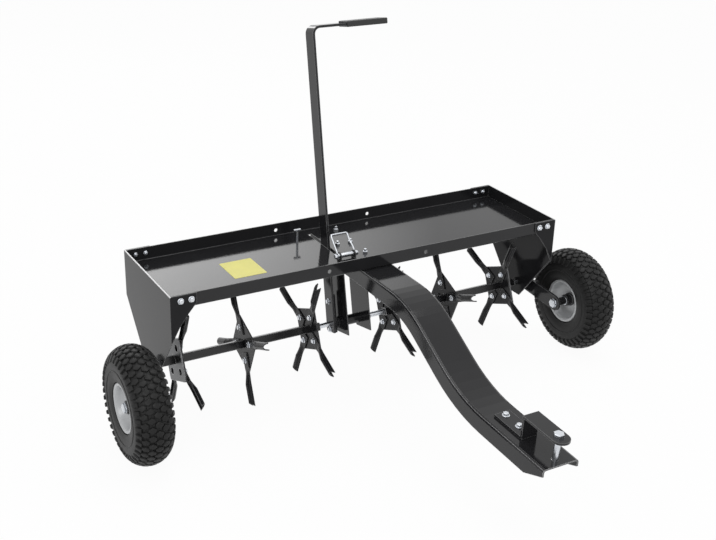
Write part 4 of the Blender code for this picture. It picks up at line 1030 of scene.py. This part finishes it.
class AERATOR_OT_lock_pin(bpy.types.Operator):
    """T-headed pin that stands in the tray floor"""

    bl_idname = "aerator.lock_pin"
    bl_label = "T-headed pin"

    def execute(self, context):
        low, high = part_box("lock_pin")
        middle = box_middle("lock_pin")
        bar = LOCK_BAR_RADIUS
        length = high.x - low.x
        shape = bmesh.new()
        add_turned(shape, aim(Vector((middle.x, middle.y, low.z)), Z_AXIS),
                   [(0.0012, CLEARANCE), (LOCK_STEM_RADIUS, 0.0020),
                    (LOCK_STEM_RADIUS, high.z - low.z - bar)], 24)
        add_turned(shape, aim(Vector((low.x, middle.y, high.z - bar)), X_AXIS),
                   [(bar * 0.6, CLEARANCE), (bar, 0.0010), (bar, length - 0.0010),
                    (bar * 0.6, length - CLEARANCE)], 24)
        publish("lock_pin_tee", shape, "zinc", "lock_pin", ["lock_pin"])
        return {"FINISHED"}


class AERATOR_OT_label(bpy.types.Operator):
    """Blank yellow film on the tray's floor"""

    bl_idname = "aerator.label"
    bl_label = "Blank label"

    def execute(self, context):
        left, front = (place + LABEL_CORNER for place in LABEL_LOW)
        right, rear = (place - LABEL_CORNER for place in LABEL_HIGH)
        outline = []
        for corner, (x, y) in enumerate(((right, rear), (left, rear), (left, front),
                                         (right, front))):
            for step in range(LABEL_STEPS + 1):
                angle = math.pi / 2 * (corner + step / LABEL_STEPS)
                outline.append((x + LABEL_CORNER * math.cos(angle),
                                AXLE.y + y + LABEL_CORNER * math.sin(angle)))
        shape = bmesh.new()
        rings = [[shape.verts.new((x, y, TRAY_FLOOR + height)) for x, y in outline]
                 for height in (0.0001, 0.0003)]
        skin(shape, rings)
        close_ends(shape, rings)
        publish("blank_label", shape, "label", "frame")
        return {"FINISHED"}


class AERATOR_OT_stage(bpy.types.Operator):
    """Floor, lamps, surround and camera"""

    bl_idname = "aerator.stage"
    bl_label = "Stage"

    def execute(self, context):
        scene = context.scene
        scene.view_settings.view_transform = "Standard"
        shape = bmesh.new()
        corners = ((-1, -1), (1, -1), (1, 1), (-1, 1))
        shape.faces.new([shape.verts.new((x * FLOOR_REACH, y * FLOOR_REACH, 0.0))
                         for x, y in corners])
        mesh = bpy.data.meshes.new("studio_floor")
        shape.to_mesh(mesh)
        shape.free()
        mesh.materials.append(make_floor_finish())
        floor = bpy.data.objects.new("studio_floor", mesh)
        scene.collection.objects.link(floor)
        floor.location.z = CAD_BOX[0].z - FLOOR_BELOW_SPOONS
        self.add_world(scene)
        for lamp in LAMPS:
            self.add_lamp(scene, *lamp)
        self.add_camera(scene)
        return {"FINISHED"}

    def add_world(self, scene):
        """White surround to the camera and to glossy rays, a plain level to the rest."""
        world = bpy.data.worlds.new("white_studio")
        scene.world = world
        world.use_nodes = True
        tree = world.node_tree
        strength = WORLD_LEVEL + (1.0 - WORLD_LEVEL) * seen_or_mirrored(tree)
        fill(tree, tree.nodes["Background"], {"Color": (1.0, 1.0, 1.0), "Strength": strength})

    def add_lamp(self, scene, name, place, size, power, fading):
        """A soft rectangular lamp that faces the machine."""
        lamp = bpy.data.lights.new(name, "AREA")
        lamp.shape = "RECTANGLE"
        lamp.size = size[0]
        lamp.size_y = size[1]
        lamp.energy = power
        item = bpy.data.objects.new(name, lamp)
        scene.collection.objects.link(item)
        if fading:
            self.fade(lamp)
        item.matrix_world = aim(Vector(place), Vector(place) - LAMPS_AIM)

    def fade(self, lamp):
        """Let a lamp fade to nothing towards the right."""
        lamp.use_nodes = True
        tree = lamp.node_tree
        spot = node(tree, "ShaderNodeNewGeometry", output="Parametric")
        across = node(tree, "ShaderNodeSeparateXYZ", None, {"Vector": spot}, "X")
        level = node(tree, "ShaderNodeMapRange", None,
                     {"Value": across, "From Min": FADED_AT, "To Max": STRONG_SIDE})
        fill(tree, tree.nodes["Emission"], {"Strength": level})

    def add_camera(self, scene):
        """Camera at the photograph's viewing angle."""
        lens = bpy.data.cameras.new("photo_camera")
        lens.sensor_width = 36.0
        lens.lens = PHOTO_FOCAL_PIXELS / PHOTO_WIDTH * lens.sensor_width
        lens.clip_start = 0.05
        lens.clip_end = 80.0
        camera = bpy.data.objects.new("photo_camera", lens)
        scene.collection.objects.link(camera)
        back = Vector((math.sin(CAMERA_AZIMUTH) * math.cos(CAMERA_ELEVATION),
                       -math.cos(CAMERA_AZIMUTH) * math.cos(CAMERA_ELEVATION),
                       math.sin(CAMERA_ELEVATION)))
        right = Vector((math.cos(CAMERA_AZIMUTH), math.sin(CAMERA_AZIMUTH), 0.0))
        up = back.cross(right)
        rolled_right = right * math.cos(CAMERA_ROLL) + up * math.sin(CAMERA_ROLL)
        rolled_up = up * math.cos(CAMERA_ROLL) - right * math.sin(CAMERA_ROLL)
        place = AXLE + CAMERA_TARGET + back * CAMERA_DISTANCE
        turn = Matrix((rolled_right, rolled_up, back)).transposed().to_4x4()
        camera.matrix_world = Matrix.Translation(place) @ turn
        scene.camera = camera


class AERATOR_PT_panel(bpy.types.Panel):
    """Steps and settings of the aerator's looks."""

    bl_idname = "AERATOR_PT_panel"
    bl_label = "Plug aerator"
    bl_space_type = "VIEW_3D"
    bl_region_type = "UI"
    bl_category = "Aerator"

    def draw(self, context):
        layout = self.layout
        scene = context.scene
        for name, group in SETTINGS.items():
            settings = getattr(scene, name)
            for field in group.__annotations__:
                layout.prop(settings, field)
        for step in STEPS:
            layout.operator(step.bl_idname)


SETTINGS = {
    "aerator_finish": FinishSettings,
    "aerator_tyre": TyreSettings,
    "aerator_rim": RimSettings,
    "aerator_fastener": FastenerSettings,
}
STEPS = (
    AERATOR_OT_stage,
    AERATOR_OT_finishes,
    AERATOR_OT_tyres,
    AERATOR_OT_rims,
    AERATOR_OT_axles,
    AERATOR_OT_spoon_bolts,
    AERATOR_OT_tray_folds,
    AERATOR_OT_tray_bolts,
    AERATOR_OT_handle_bolts,
    AERATOR_OT_hitch,
    AERATOR_OT_latch,
    AERATOR_OT_lock_pin,
    AERATOR_OT_label,
)
CLASSES = (*SETTINGS.values(), *STEPS, AERATOR_PT_panel)


def register():
    """Register the classes and put the settings on the scene."""
    for item in CLASSES:
        bpy.utils.register_class(item)
    for name, group in SETTINGS.items():
        setattr(bpy.types.Scene, name, PointerProperty(type=group))


def unregister():
    """Take the settings off the scene and unregister the classes."""
    for name in SETTINGS:
        delattr(bpy.types.Scene, name)
    for item in reversed(CLASSES):
        bpy.utils.unregister_class(item)


def main():
    """Run every step."""
    register()
    for step in STEPS:
        group, name = step.bl_idname.split(".")
        getattr(getattr(bpy.ops, group), name)()


if __name__ == "__main__":
    main()
